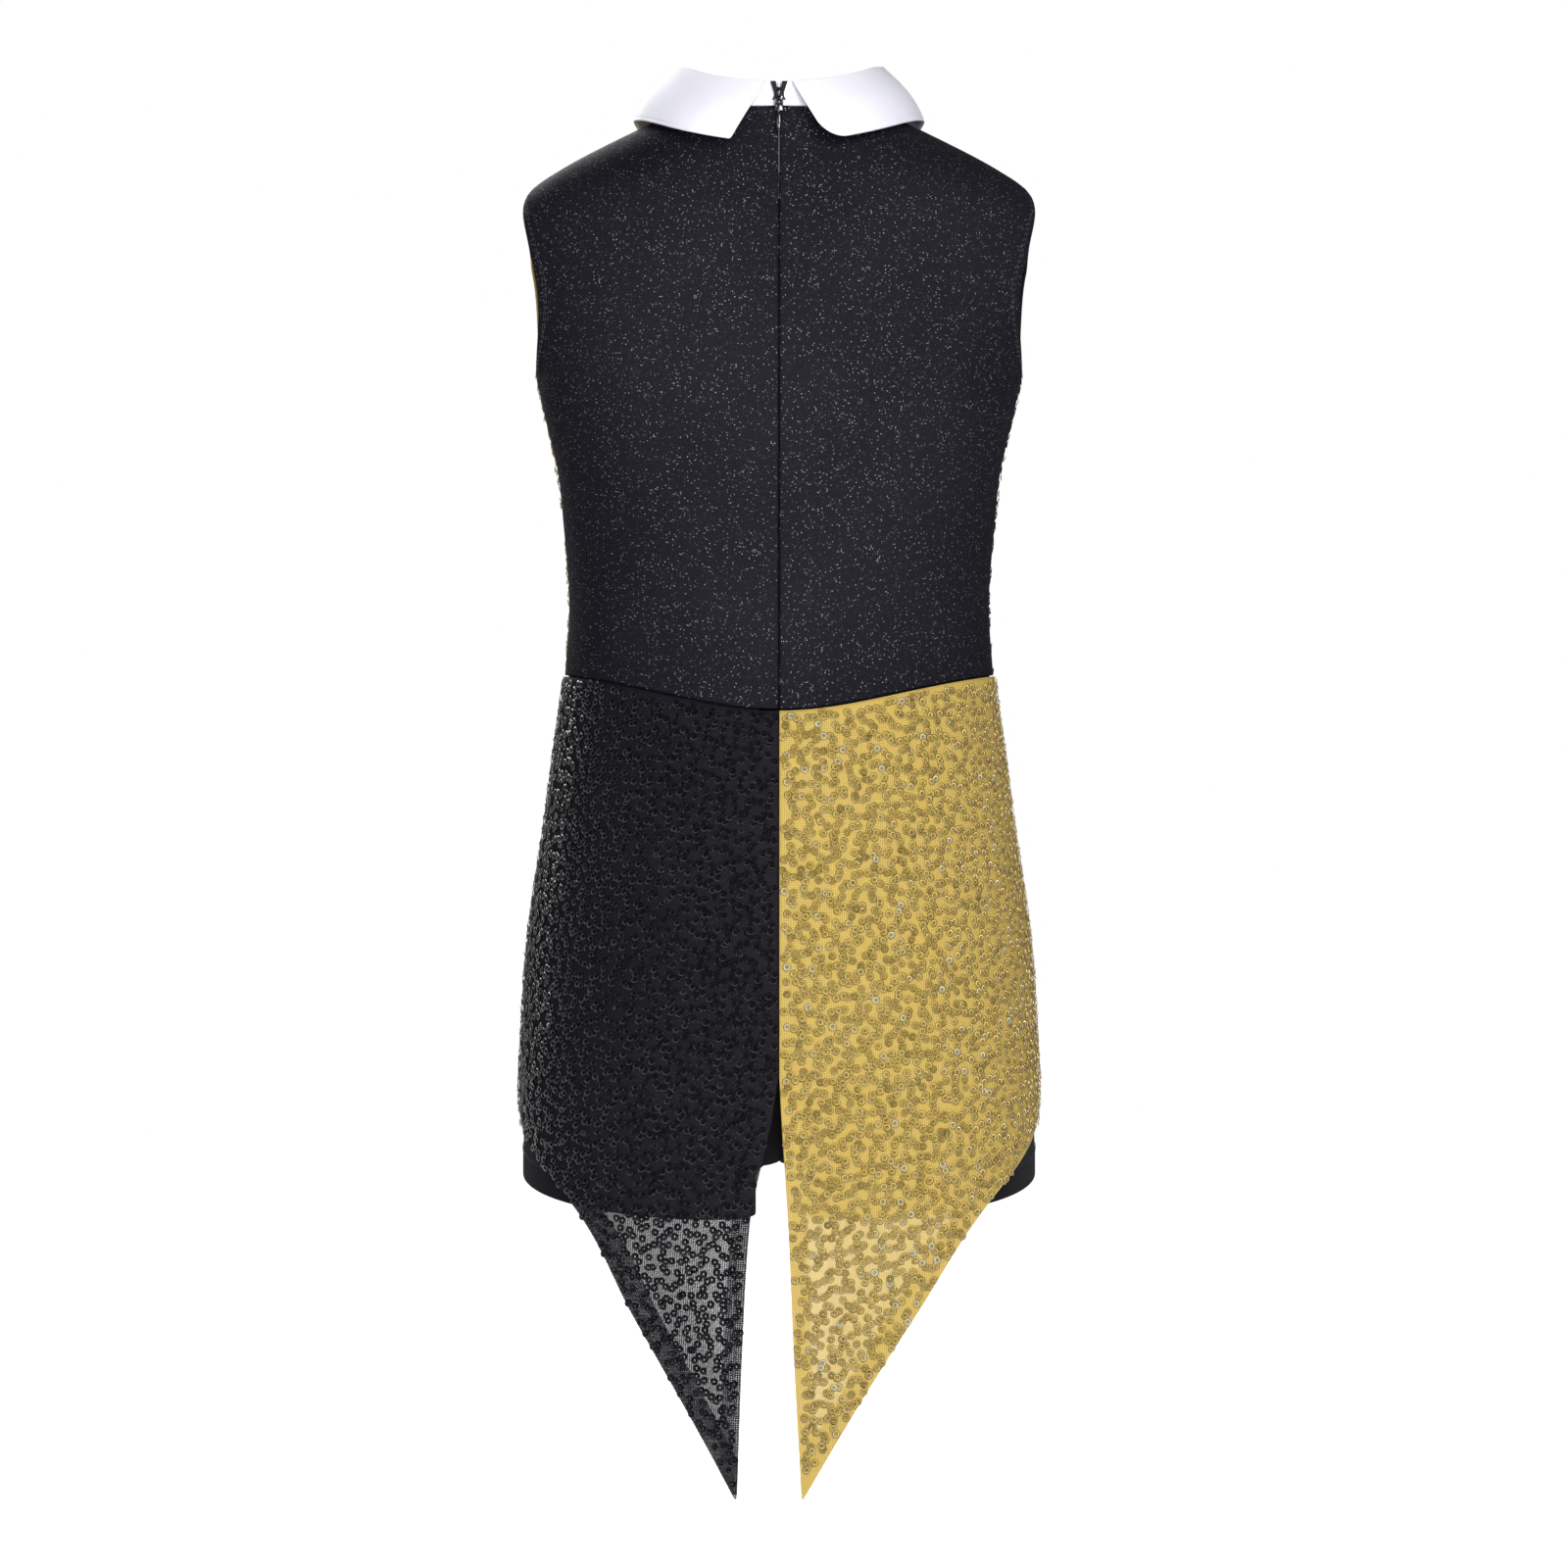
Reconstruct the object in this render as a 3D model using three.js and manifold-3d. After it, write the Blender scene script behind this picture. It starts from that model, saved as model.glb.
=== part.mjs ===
// Sleeveless cheer uniform for a child: a one-piece with shorts, a fold-over collar, a concealed
// zip down the centre back, and a sequin overskirt that is cut away to two hanging tails.
//
// Frame: millimetres, +Z up, the front faces -Y and the wearer's left is +X. The origin is midway
// between the two high shoulder points, where the collar stand is sewn to the shoulder seams.
// An angle round the body is 0 at the centre back, 90 at the side seam and 180 at the centre front.

import * as THREE from 'three';
import { mergeVertices } from 'three/addons/utils/BufferGeometryUtils.js';
import Module from 'manifold-3d';

const wasm = await Module();
wasm.setup();

// ---------------------------------------------------------------- driving dimensions

const CLOTH = 1.2;             // thickness of every body panel
const SEAM_GAP = 0.6;          // gap left where two panels meet at a seam
const LAYER_GAP = 1.4;         // gap between the shorts and the overskirt
const LINING_GAP = 1.9;        // gap between a panel and the tape or facing inside it

// heights, from the high shoulder point down
const SIDE_WAIST_DROP = 286;   // waist seam at the side
const WAIST_DIP = 18.5;        // how much lower the waist seam is at the centres
const YOKE_DROP = 75;          // the body is upright up to here and rounds to the shoulder above
const SHOULDER_DROP = 40;      // height of the shoulder corner before it is rounded
const SEAT_DROP = 430;         // fullest part of the seat
const CROTCH_DROP = 533;
const HEM_DROP = 538;          // leg hem at the outer side
const HEM_DIP = 22;            // how much lower the leg hem is at the inner leg
const TAIL_DROP = 692;         // tips of the tails
const TAIL_BEND_DROP = 545;    // line where a tail starts to swing

// half widths and depths, from the middle of the body
const NECK_HALF_WIDTH = 55;
const NECK_BACK = 60;
const NECK_FRONT = 50;
const NECK_DIP = 3;            // how much lower the neck seam is at the centre back
const NECK_FRONT_DROP = 35;
const SHOULDER_HALF_WIDTH = 136.5;
const SHOULDER_FRONT = 64;
const UNDERARM_HALF_WIDTH = 122;
const MIDRIFF_HALF_WIDTH = 107.2;
const HIP_HALF_WIDTH = 130.5;
const CHEST_FRONT = 84;
const MIDRIFF_FRONT = 72;
const HIP_FRONT = 83;
const WAIST_BACK = 74.5;
const SEAT_BACK = 93;
const LEG_SPREAD = 1.2;        // leg centre over leg radius at the hem

// overskirt: the angle round the body that its edge reaches, and how far the inner edge of each
// tail stands off the centre back
const SKIRT_WRAP = 170;
const HIP_WRAP = 90;
const LEFT_TAIL_OFFSET = 20.6;
const RIGHT_TAIL_OFFSET = 11;

// armhole: an oval seen from the side
const ARMHOLE_TOP_DROP = 38;
const ARMHOLE_BOTTOM_DROP = 135;
const ARMHOLE_HALF_DEPTH = 38;

// collar
const STAND_HEIGHT_BACK = 12;
const STAND_HEIGHT_SIDE = 24;
const STAND_CLOTH = 1.6;
const LEAF_CLOTH = 2;
const LEAF_LIFT = LEAF_CLOTH + 0.6;
const LEAF_BELLY = 3;          // how far a leaf bulges between its fold and its edge
const LEAF_HALF_WIDTH = NECK_HALF_WIDTH + 19;
const LEAF_BACK = NECK_BACK + 15;
const LEAF_FRONT = NECK_FRONT + 28;
const LEAF_BACK_DROP = 23;
const LEAF_SIDE_DROP = 4;
const LEAF_FRONT_DROP = 57;
const LEAF_POINT_ANGLE = 46;   // where the free back point of a leaf ends
const NECK_SPRING = 4;         // how much narrower the fold is than the neck seam

// zip
const TAPE_WIDTH = 5;
const TAPE_CLOTH = 0.6;
const TAPE_INSET = 2.5;        // outer face of the tape, below the outer face of the bodice
const COIL_WIDTH = 1.4;
const COIL_DEPTH = 1.0;
const ZIP_SLIT = 1.1;          // opening between the two back panels
const WEB = 0.4;               // wall of the slider that passes through the slit
const SLIDER_LENGTH = 12;
const SLIDER_WIDTH = 7.2;
const SLIDER_WALL = 1.0;
const ZIP_TOP = 9;             // upper end of the coils, above the high shoulder point
const ZIP_END_MARGIN = 8;      // lower end of the coils, above the waist seam
const PULL_LENGTH = 15;
const PULL_WIDTH = 3.4;

// linings and tapes inside
const FACING_WIDTH = 8;
const FACING_CLOTH = 0.8;
const HEM_BAND = 16;
const SEAM_TAPE = 8;

const RIGHT = Math.PI / 2;
const STRAIGHT = Math.PI;

// ---------------------------------------------------------------- small helpers

const mix = (a, b, t) => a + (b - a) * t;
const radians = THREE.MathUtils.degToRad;

// A smooth curve through a few [place, value] points that never overshoots them.
function through(points) {
  const rows = [...points].sort((a, b) => a[0] - b[0]);
  const slopes = rows.slice(1).map((row, i) => (row[1] - rows[i][1]) / (row[0] - rows[i][0]));
  const tangents = rows.map((row, i) => {
    if (i === 0) return slopes[0];
    if (i === rows.length - 1) return slopes[i - 1];
    const [before, after] = [slopes[i - 1], slopes[i]];
    return before * after <= 0 ? 0 : 2 * before * after / (before + after);
  });
  return (place) => {
    const at = THREE.MathUtils.clamp(place, rows[0][0], rows[rows.length - 1][0]);
    let i = 0;
    while (i < rows.length - 2 && at > rows[i + 1][0]) i += 1;
    const span = rows[i + 1][0] - rows[i][0];
    const t = (at - rows[i][0]) / span;
    const [t2, t3] = [t * t, t * t * t];
    return rows[i][1] * (2 * t3 - 3 * t2 + 1) + tangents[i] * span * (t3 - 2 * t2 + t)
      + rows[i + 1][1] * (3 * t2 - 2 * t3) + tangents[i + 1] * span * (t3 - t2);
  };
}

// The value between low and high where a rising function reaches zero.
function solve(rising, low, high) {
  for (let i = 0; i < 40; i += 1) {
    const middle = (low + high) / 2;
    if (rising(middle) > 0) high = middle;
    else low = middle;
  }
  return (low + high) / 2;
}

// One closed solid of even thickness. surface(a, b) gives its outer face for a and b from 0 to 1,
// and lift moves both faces outwards along the surface's own normal.
function cloth(surface, across, down, thickness, lift = 0) {
  const step = 1e-3;
  const normalAt = (a, b) => {
    const [a0, a1] = [Math.max(0, a - step), Math.min(1, a + step)];
    const [b0, b1] = [Math.max(0, b - step), Math.min(1, b + step)];
    const alongA = surface(a1, b).sub(surface(a0, b));
    const alongB = surface(a, b1).sub(surface(a, b0));
    return alongA.cross(alongB).normalize();
  };
  const middle = surface(0.5, 0.5);
  const outward = normalAt(0.5, 0.5).dot(new THREE.Vector3(middle.x, middle.y, 0)) > 0 ? 1 : -1;
  const [columns, rows] = [across + 1, down + 1];
  const points = [];
  for (const offset of [lift, lift - thickness]) {
    for (let j = 0; j < rows; j += 1) {
      for (let i = 0; i < columns; i += 1) {
        const [a, b] = [i / across, j / down];
        points.push(surface(a, b).addScaledVector(normalAt(a, b), outward * offset));
      }
    }
  }
  const at = (i, j, layer) => layer * columns * rows + j * columns + i;
  const faces = [];
  const quad = (p, q, r, s) => faces.push([p, q, r], [p, r, s]);
  for (let j = 0; j < down; j += 1) {
    for (let i = 0; i < across; i += 1) {
      quad(at(i, j, 0), at(i + 1, j, 0), at(i + 1, j + 1, 0), at(i, j + 1, 0));
      quad(at(i, j, 1), at(i, j + 1, 1), at(i + 1, j + 1, 1), at(i + 1, j, 1));
    }
  }
  for (let i = 0; i < across; i += 1) {
    quad(at(i, 0, 0), at(i, 0, 1), at(i + 1, 0, 1), at(i + 1, 0, 0));
    quad(at(i, down, 0), at(i + 1, down, 0), at(i + 1, down, 1), at(i, down, 1));
  }
  for (let j = 0; j < down; j += 1) {
    quad(at(0, j, 0), at(0, j + 1, 0), at(0, j + 1, 1), at(0, j, 1));
    quad(at(across, j, 0), at(across, j, 1), at(across, j + 1, 1), at(across, j + 1, 0));
  }
  const order = outward > 0 ? [0, 1, 2] : [0, 2, 1];
  const geometry = new THREE.BufferGeometry();
  geometry.setAttribute('position', new THREE.Float32BufferAttribute(points.flatMap((p) => p.toArray()), 3));
  geometry.setIndex(faces.flatMap((face) => order.map((k) => face[k])));
  geometry.computeVertexNormals();
  return geometry;
}

function toSolid(geometry) {
  const plain = new THREE.BufferGeometry();
  plain.setAttribute('position', geometry.getAttribute('position').clone());
  if (geometry.index) plain.setIndex(geometry.index.clone());
  const merged = mergeVertices(plain, 1e-5);
  return new wasm.Manifold(new wasm.Mesh({
    numProp: 3,
    vertProperties: new Float32Array(merged.getAttribute('position').array),
    triVerts: new Uint32Array(merged.index.array),
  }));
}

function toGeometry(solid) {
  const mesh = solid.getMesh();
  const geometry = new THREE.BufferGeometry();
  geometry.setAttribute('position', new THREE.Float32BufferAttribute(mesh.vertProperties, 3));
  geometry.setIndex(new THREE.Uint32BufferAttribute(mesh.triVerts, 1));
  geometry.computeVertexNormals();
  return geometry;
}

// A block between two corners.
function block(low, high) {
  const size = low.map((value, i) => high[i] - value);
  const centre = low.map((value, i) => (high[i] + value) / 2);
  return new THREE.BoxGeometry(...size).translate(...centre);
}

// ---------------------------------------------------------------- the body that the cloth follows

const waistCentre = -(SIDE_WAIST_DROP + WAIST_DIP);
const armholeCentre = -(ARMHOLE_TOP_DROP + ARMHOLE_BOTTOM_DROP) / 2;
const armholeHalfHeight = (ARMHOLE_BOTTOM_DROP - ARMHOLE_TOP_DROP) / 2;

// heights between the named ones
const ribs = -mix(ARMHOLE_BOTTOM_DROP, SIDE_WAIST_DROP, 0.37);
const midriff = -mix(ARMHOLE_BOTTOM_DROP, SIDE_WAIST_DROP, 0.77);
const highHip = -mix(SIDE_WAIST_DROP, SEAT_DROP, 0.45);
const belly = -mix(SIDE_WAIST_DROP, SEAT_DROP, 0.69);
const fullHip = -mix(SEAT_DROP, CROTCH_DROP, 0.59);
const seatEnd = -CROTCH_DROP - 20;

// half width at each height, from the yoke to the hip
const hipShare = (share) => mix(MIDRIFF_HALF_WIDTH, HIP_HALF_WIDTH, share);
const ribShare = (share) => mix(UNDERARM_HALF_WIDTH, MIDRIFF_HALF_WIDTH, share);
const yokeHalfWidth = SHOULDER_HALF_WIDTH - 1.5;
const halfWidth = through([
  [-YOKE_DROP, yokeHalfWidth],
  [-mix(YOKE_DROP, ARMHOLE_BOTTOM_DROP, 0.75), mix(UNDERARM_HALF_WIDTH, yokeHalfWidth, 0.35)],
  [-ARMHOLE_BOTTOM_DROP - 6, UNDERARM_HALF_WIDTH],
  [ribs, ribShare(0.69)], [midriff, MIDRIFF_HALF_WIDTH], [-SIDE_WAIST_DROP, hipShare(0.08)],
  [highHip, hipShare(0.4)], [-SEAT_DROP, hipShare(0.86)], [fullHip, HIP_HALF_WIDTH],
]);

// depth of the back: straight down the zip, then round over the seat
const zipSlope = (WAIST_BACK - NECK_BACK) / -waistCentre;
const zipLine = (z) => NECK_BACK - zipSlope * z;
const seatDepth = through([
  [waistCentre, WAIST_BACK], [mix(waistCentre, -SEAT_DROP, 0.48), mix(WAIST_BACK, SEAT_BACK, 0.66)],
  [-SEAT_DROP, SEAT_BACK], [fullHip, 0.935 * SEAT_BACK], [seatEnd, 0.82 * SEAT_BACK],
]);
const backDepth = (z) => (z > waistCentre ? zipLine(z) : seatDepth(z));

// depth of the front
const frontDepth = through([
  [-YOKE_DROP, CHEST_FRONT - 12], [-ARMHOLE_BOTTOM_DROP, CHEST_FRONT], [midriff, MIDRIFF_FRONT],
  [waistCentre, mix(MIDRIFF_FRONT, HIP_FRONT, 0.36)], [belly, HIP_FRONT],
  [-SEAT_DROP, HIP_FRONT - 1], [seatEnd, HIP_FRONT - 8],
]);

// how square the level section is: 2 is an ellipse
const squareness = through([
  [-YOKE_DROP, 3], [-ARMHOLE_BOTTOM_DROP, 2.7], [mix(ribs, midriff, 0.5), 2], [-TAIL_DROP, 2],
]);

const waistHeight = (angle) => waistCentre + WAIST_DIP * Math.sin(angle) ** 2;

// a point of a level oval, seen from its centre at this angle
function oval(angle, wide, back, front, power, z) {
  const deep = Math.cos(angle) > 0 ? back : front;
  const [s, c] = [Math.sin(angle), Math.cos(angle)];
  const reach = (Math.abs(s / wide) ** power + Math.abs(c / deep) ** power) ** (-1 / power);
  return new THREE.Vector3(reach * s, reach * c, z);
}

const body = (angle, z) => oval(angle, halfWidth(z), backDepth(z), frontDepth(z), squareness(z), z);

function neckPoint(angle) {
  const dip = Math.cos(angle) > 0 ? NECK_DIP : NECK_FRONT_DROP;
  return oval(angle, NECK_HALF_WIDTH, zipLine(-NECK_DIP), NECK_FRONT, 2, -dip * Math.cos(angle) ** 2);
}

// The bodice form: t runs from the waist seam (0) over the shoulder to the neck seam (1).
const YOKE_SHARE = 0.7;
function bodiceForm(angle, t) {
  if (t <= YOKE_SHARE) return body(angle, mix(waistHeight(angle), -YOKE_DROP, t / YOKE_SHARE));
  const roundness = 0.95;
  const low = body(angle, -YOKE_DROP);
  const high = neckPoint(angle);
  const back = zipLine(-SHOULDER_DROP);
  const corner = oval(angle, SHOULDER_HALF_WIDTH, back, SHOULDER_FRONT, 3, -SHOULDER_DROP);
  const curve = new THREE.CubicBezierCurve3(
    low, low.clone().lerp(corner, roundness), high.clone().lerp(corner, roundness), high);
  return curve.getPoint((t - YOKE_SHARE) / (1 - YOKE_SHARE));
}

// How far a point lies outside the armhole oval: negative is inside the hole.
function armholeClearance(point, reach = 1) {
  const y = point.y / (ARMHOLE_HALF_DEPTH * reach);
  const z = (point.z - armholeCentre) / (armholeHalfHeight * reach);
  return y * y + z * z - 1;
}

// The angle where a bodice row ends: at the armhole, or at the side and shoulder seam.
function rowEnd(t, start) {
  if (armholeClearance(bodiceForm(RIGHT, t)) >= 0) return RIGHT;
  return solve((share) => -armholeClearance(bodiceForm(mix(start, RIGHT, share), t)), 0, 1)
    * (RIGHT - start) + start;
}

// The form's point beside the armhole, at a height and a distance from the shoulder plane.
function armholePoint(turn, reach) {
  const y = ARMHOLE_HALF_DEPTH * reach * Math.cos(turn);
  const z = armholeCentre + armholeHalfHeight * reach * Math.sin(turn);
  const far = y >= 0 ? 0 : STRAIGHT;
  const angleAt = (t) => far + (RIGHT - far) * solve(
    (share) => Math.abs(y) - Math.abs(bodiceForm(far + (RIGHT - far) * share, t).y), 0, 1);
  const t = solve((value) => bodiceForm(angleAt(value), value).z - z, 0.3, 0.99);
  return bodiceForm(angleAt(t), t);
}

// ---------------------------------------------------------------- pieces of the left side

// Rows of a bodice panel bunch up at the top and the bottom of the armhole, where it turns.
const underarmShare = solve((t) => bodiceForm(RIGHT, t).z + ARMHOLE_BOTTOM_DROP, 0, YOKE_SHARE);
const shoulderTipShare = solve((t) => bodiceForm(RIGHT, t).z + ARMHOLE_TOP_DROP, YOKE_SHARE, 1);
const bodiceRow = (b) => {
  if (b < 0.4) return mix(0, underarmShare, b / 0.4);
  if (b > 0.85) return mix(shoulderTipShare, 1, (b - 0.85) / 0.15);
  return mix(underarmShare, shoulderTipShare, (1 - Math.cos(STRAIGHT * (b - 0.4) / 0.45)) / 2);
};

function bodicePanel(centre) {
  const half = centre === 0 ? ZIP_SLIT / 2 : SEAM_GAP / 2;
  const direction = centre === 0 ? 1 : -1;
  return (a, b) => {
    const t = mix(0.003, 0.998, bodiceRow(b));
    const first = bodiceForm(centre, t);
    const start = centre + direction * Math.atan(half / Math.abs(first.y));
    const end = rowEnd(t, start);
    const reach = bodiceForm(end, t).length();
    const finish = end - direction * SEAM_GAP / 2 / Math.max(reach, 1);
    return bodiceForm(mix(start, finish, a), t);
  };
}

// Shorts: each side is an oval that slides outwards below the seat until it closes into a leg.
// Under the crotch the legs part in a round arch.
const ARCH_SHARE = 0.1;        // height of the arch, over the height from seat to crotch
function shortsPoint(turn, z) {
  const drop = (-SEAT_DROP - z) / (CROTCH_DROP - SEAT_DROP);
  const arch = THREE.MathUtils.clamp((drop - 1) / ARCH_SHARE, 0, 1);
  const parted = (LEG_SPREAD - 1) * Math.sqrt(arch * (2 - arch));
  const spread = Math.min(1, Math.max(0, drop) ** 1.5) + parted;
  const radius = (halfWidth(z) - SEAM_GAP / 2) / (1 + spread);
  const open = Math.asin(Math.min(1, spread));
  const angle = turn <= RIGHT ? mix(-open, RIGHT, turn / RIGHT) : mix(RIGHT, STRAIGHT + open, turn / RIGHT - 1);
  const deep = Math.cos(angle) > 0 ? backDepth(z) : frontDepth(z);
  return new THREE.Vector3(
    SEAM_GAP / 2 + radius * (spread + Math.sin(angle)), deep * Math.cos(angle), z);
}

const hemHeight = (turn) => -HEM_DROP - HEM_DIP * (1 - (1 - Math.abs(turn / RIGHT - 1)) ** 2);

function shortsPanel(first) {
  const margin = SEAM_GAP / 2 / SEAT_BACK;
  return (a, b) => {
    const turn = mix(first + margin, first + RIGHT - margin, a);
    return shortsPoint(turn, mix(waistHeight(turn) - SEAM_GAP, hemHeight(turn), b));
  };
}

function legHem(a, b) {
  const margin = SEAM_GAP / 30;
  const turn = mix(margin, STRAIGHT - margin, a);
  const low = hemHeight(turn) + 1;
  return shortsPoint(turn, mix(low + HEM_BAND, low, b));
}

// Overskirt: it lies on the hips, hangs straight below the seat, and its outer edge runs from the
// centre front of the waist, past the side, to the tip of the tail.
const skirtLift = CLOTH + LAYER_GAP;
const skirtDepth = (z) => (z > -SEAT_DROP ? backDepth(z) : SEAT_BACK + 0.4);
const skirtSquareness = through([[-SEAT_DROP, 2], [fullHip, 2.5]]);

// Edges of the cut: outer gives the angle in degrees, inner the distance from the centre back.
const cutHip = mix(waistCentre, -SEAT_DROP, 0.76);
const cutSide = -mix(SEAT_DROP, TAIL_BEND_DROP, 0.56);
const slitTop = -mix(SEAT_DROP, TAIL_BEND_DROP, 0.48);
const slitTurn = -mix(SEAT_DROP, TAIL_BEND_DROP, 0.65);
const tailShare = (share) => -mix(TAIL_BEND_DROP, TAIL_DROP, share);
const upperCut = [[cutSide, HIP_WRAP], [cutHip, mix(HIP_WRAP, SKIRT_WRAP, 0.62)], [waistCentre, SKIRT_WRAP]];
const slit = (tip, shares) => [
  [-TAIL_DROP, tip], [tailShare(0.51), shares[0] * tip], [tailShare(0.1), shares[1] * tip],
  [slitTurn, shares[2] * tip], [slitTop, 0],
];
const TAILS = {
  left: {
    outer: [[-TAIL_DROP, 13], [tailShare(0.4), 39.7], [tailShare(0.07), 53], ...upperCut],
    inner: slit(LEFT_TAIL_OFFSET, [0.87, 0.7, 0.15]),
  },
  right: {
    outer: [[-TAIL_DROP, 7.3], [tailShare(0.4), 37.3], [tailShare(0.05), 54.7], ...upperCut],
    inner: slit(RIGHT_TAIL_OFFSET, [0.64, 0.41, 0.09]),
  },
};

function skirtPoint(side, across, z) {
  const back = skirtDepth(z) + skirtLift;
  const start = Math.atan((through(TAILS[side].inner)(z) + SEAM_GAP / 2) / back);
  const angle = mix(start, radians(through(TAILS[side].outer)(z)), across);
  return oval(angle, halfWidth(z) + skirtLift, back, frontDepth(z) + skirtLift, skirtSquareness(z), z);
}

function skirtPanel(side) {
  return (a, b) => {
    const top = waistHeight(a * radians(SKIRT_WRAP)) - SEAM_GAP;
    return skirtPoint(side, a, mix(top, -TAIL_BEND_DROP, b));
  };
}

function tailPanel(side) {
  return (a, b) => skirtPoint(side, a, mix(-TAIL_BEND_DROP - SEAM_GAP, -TAIL_DROP, b));
}

// Collar: the stand rises from the neck seam, and each leaf folds over its top edge.
function foldPoint(angle, lift) {
  const seam = neckPoint(angle);
  const height = mix(STAND_HEIGHT_BACK, STAND_HEIGHT_SIDE, Math.sin(angle) ** 2);
  const back = zipLine(STAND_HEIGHT_BACK - NECK_DIP);
  const point = oval(angle, NECK_HALF_WIDTH - NECK_SPRING + lift, back + lift, NECK_FRONT + 1 + lift, 2, 0);
  point.z = seam.z + height;
  return point;
}

function leafEdge(angle) {
  const end = Math.cos(angle) > 0 ? LEAF_BACK_DROP : LEAF_FRONT_DROP;
  const z = -mix(end, LEAF_SIDE_DROP, Math.sin(angle) ** 2);
  return oval(angle, LEAF_HALF_WIDTH, LEAF_BACK, LEAF_FRONT, 2, z);
}

function leafPoint(angle, down) {
  const top = foldPoint(angle, LEAF_LIFT);
  const bottom = leafEdge(angle);
  const bulge = LEAF_BELLY * Math.sin(STRAIGHT * down);
  const out = new THREE.Vector3(bottom.x, bottom.y, 0).normalize();
  return top.lerp(bottom, down).addScaledVector(out, bulge);
}

const leafStart = (down) => radians(mix(6, 19, down));
const leafFinish = (down) => radians(mix(177, 172, down));

function collarPointPanel(a, b) {
  const split = radians(LEAF_POINT_ANGLE);
  return leafPoint(mix(leafStart(b), split, a), b);
}

function collarLeafPanel(a, b) {
  const split = radians(LEAF_POINT_ANGLE) + SEAM_GAP / LEAF_BACK;
  return leafPoint(mix(split, leafFinish(b), a), b);
}

// The stand runs right round the neck, open at the zip. a runs from the left edge to the right.
function collarStand(a, b) {
  const gap = Math.atan((ZIP_SLIT / 2 + 0.2) / NECK_BACK);
  const round = mix(gap, 2 * STRAIGHT - gap, a);
  const angle = round <= STRAIGHT ? round : 2 * STRAIGHT - round;
  const seam = neckPoint(angle);
  seam.z += SEAM_GAP;
  const point = seam.lerp(foldPoint(angle, 0), b);
  if (round > STRAIGHT) point.x = -point.x;
  return point;
}

// Armhole facing: a ring of tape inside the edge of the armhole.
function armholeFacing() {
  const turns = 32;
  const reachOut = 1 + FACING_WIDTH / ARMHOLE_HALF_DEPTH;
  const surface = (a, b) => armholePoint(a * 2 * STRAIGHT - RIGHT, mix(1.02, reachOut, b));
  return closedRing(surface, turns, 2, FACING_CLOTH, -(CLOTH + LINING_GAP));
}

// A ring of even thickness: a goes once round and meets itself.
function closedRing(surface, around, across, thickness, lift) {
  const step = 1e-3;
  const faces = [];
  const points = [];
  const rows = across + 1;
  for (const offset of [lift, lift - thickness]) {
    for (let i = 0; i < around; i += 1) {
      for (let j = 0; j < rows; j += 1) {
        const [a, b] = [i / around, j / across];
        const alongA = surface(a + step, b).sub(surface(a - step, b));
        const alongB = surface(a, Math.min(1, b + step)).sub(surface(a, Math.max(0, b - step)));
        const normal = alongA.cross(alongB).normalize();
        if (normal.x < 0) normal.negate();
        points.push(surface(a, b).addScaledVector(normal, offset));
      }
    }
  }
  const at = (i, j, layer) => layer * around * rows + (i % around) * rows + j;
  const quad = (p, q, r, s) => faces.push([p, q, r], [p, r, s]);
  for (let i = 0; i < around; i += 1) {
    for (let j = 0; j < across; j += 1) {
      quad(at(i, j, 0), at(i + 1, j, 0), at(i + 1, j + 1, 0), at(i, j + 1, 0));
      quad(at(i, j, 1), at(i, j + 1, 1), at(i + 1, j + 1, 1), at(i + 1, j, 1));
    }
    quad(at(i, 0, 0), at(i, 0, 1), at(i + 1, 0, 1), at(i + 1, 0, 0));
    quad(at(i, across, 0), at(i + 1, across, 0), at(i + 1, across, 1), at(i, across, 1));
  }
  const geometry = new THREE.BufferGeometry();
  geometry.setAttribute('position', new THREE.Float32BufferAttribute(points.flatMap((p) => p.toArray()), 3));
  geometry.setIndex(faces.flat());
  return outwardFaces(geometry);
}

// Turns a closed geometry's faces outwards if its volume is negative.
function outwardFaces(geometry) {
  const position = geometry.getAttribute('position');
  const index = [...geometry.index.array];
  const point = (k) => new THREE.Vector3().fromBufferAttribute(position, index[k]);
  let volume = 0;
  for (let k = 0; k < index.length; k += 3) {
    volume += point(k).dot(point(k + 1).cross(point(k + 2)));
  }
  if (volume < 0) geometry.setIndex(index.map((_, k) => index[k - (k % 3) + [0, 2, 1][k % 3]]));
  geometry.computeVertexNormals();
  return geometry;
}

// Tape inside the waist seam: round the whole waist, open at the zip.
function waistTape(a, b) {
  const gap = (ZIP_SLIT / 2 + TAPE_WIDTH + 5) / WAIST_BACK;
  const round = mix(gap, 2 * STRAIGHT - gap, a);
  const angle = round <= STRAIGHT ? round : 2 * STRAIGHT - round;
  const z = waistHeight(angle) + mix(SEAM_TAPE / 2, -SEAM_TAPE / 2, b);
  const point = body(angle, z);
  if (round > STRAIGHT) point.x = -point.x;
  return point;
}

// Tape inside the shoulder seam, from near the neck to near the shoulder tip.
function shoulderTape(a, b) {
  const facingShare = 0.04 * armholeHalfHeight / ARMHOLE_HALF_DEPTH;
  const t = mix(0.96, shoulderTipShare + facingShare, b);
  const half = SEAM_TAPE / 2 / NECK_HALF_WIDTH;
  return bodiceForm(RIGHT + mix(-half, half, a) * NECK_HALF_WIDTH / bodiceForm(RIGHT, t).x, t);
}

// ---------------------------------------------------------------- zip, in its own leaning frame

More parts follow.
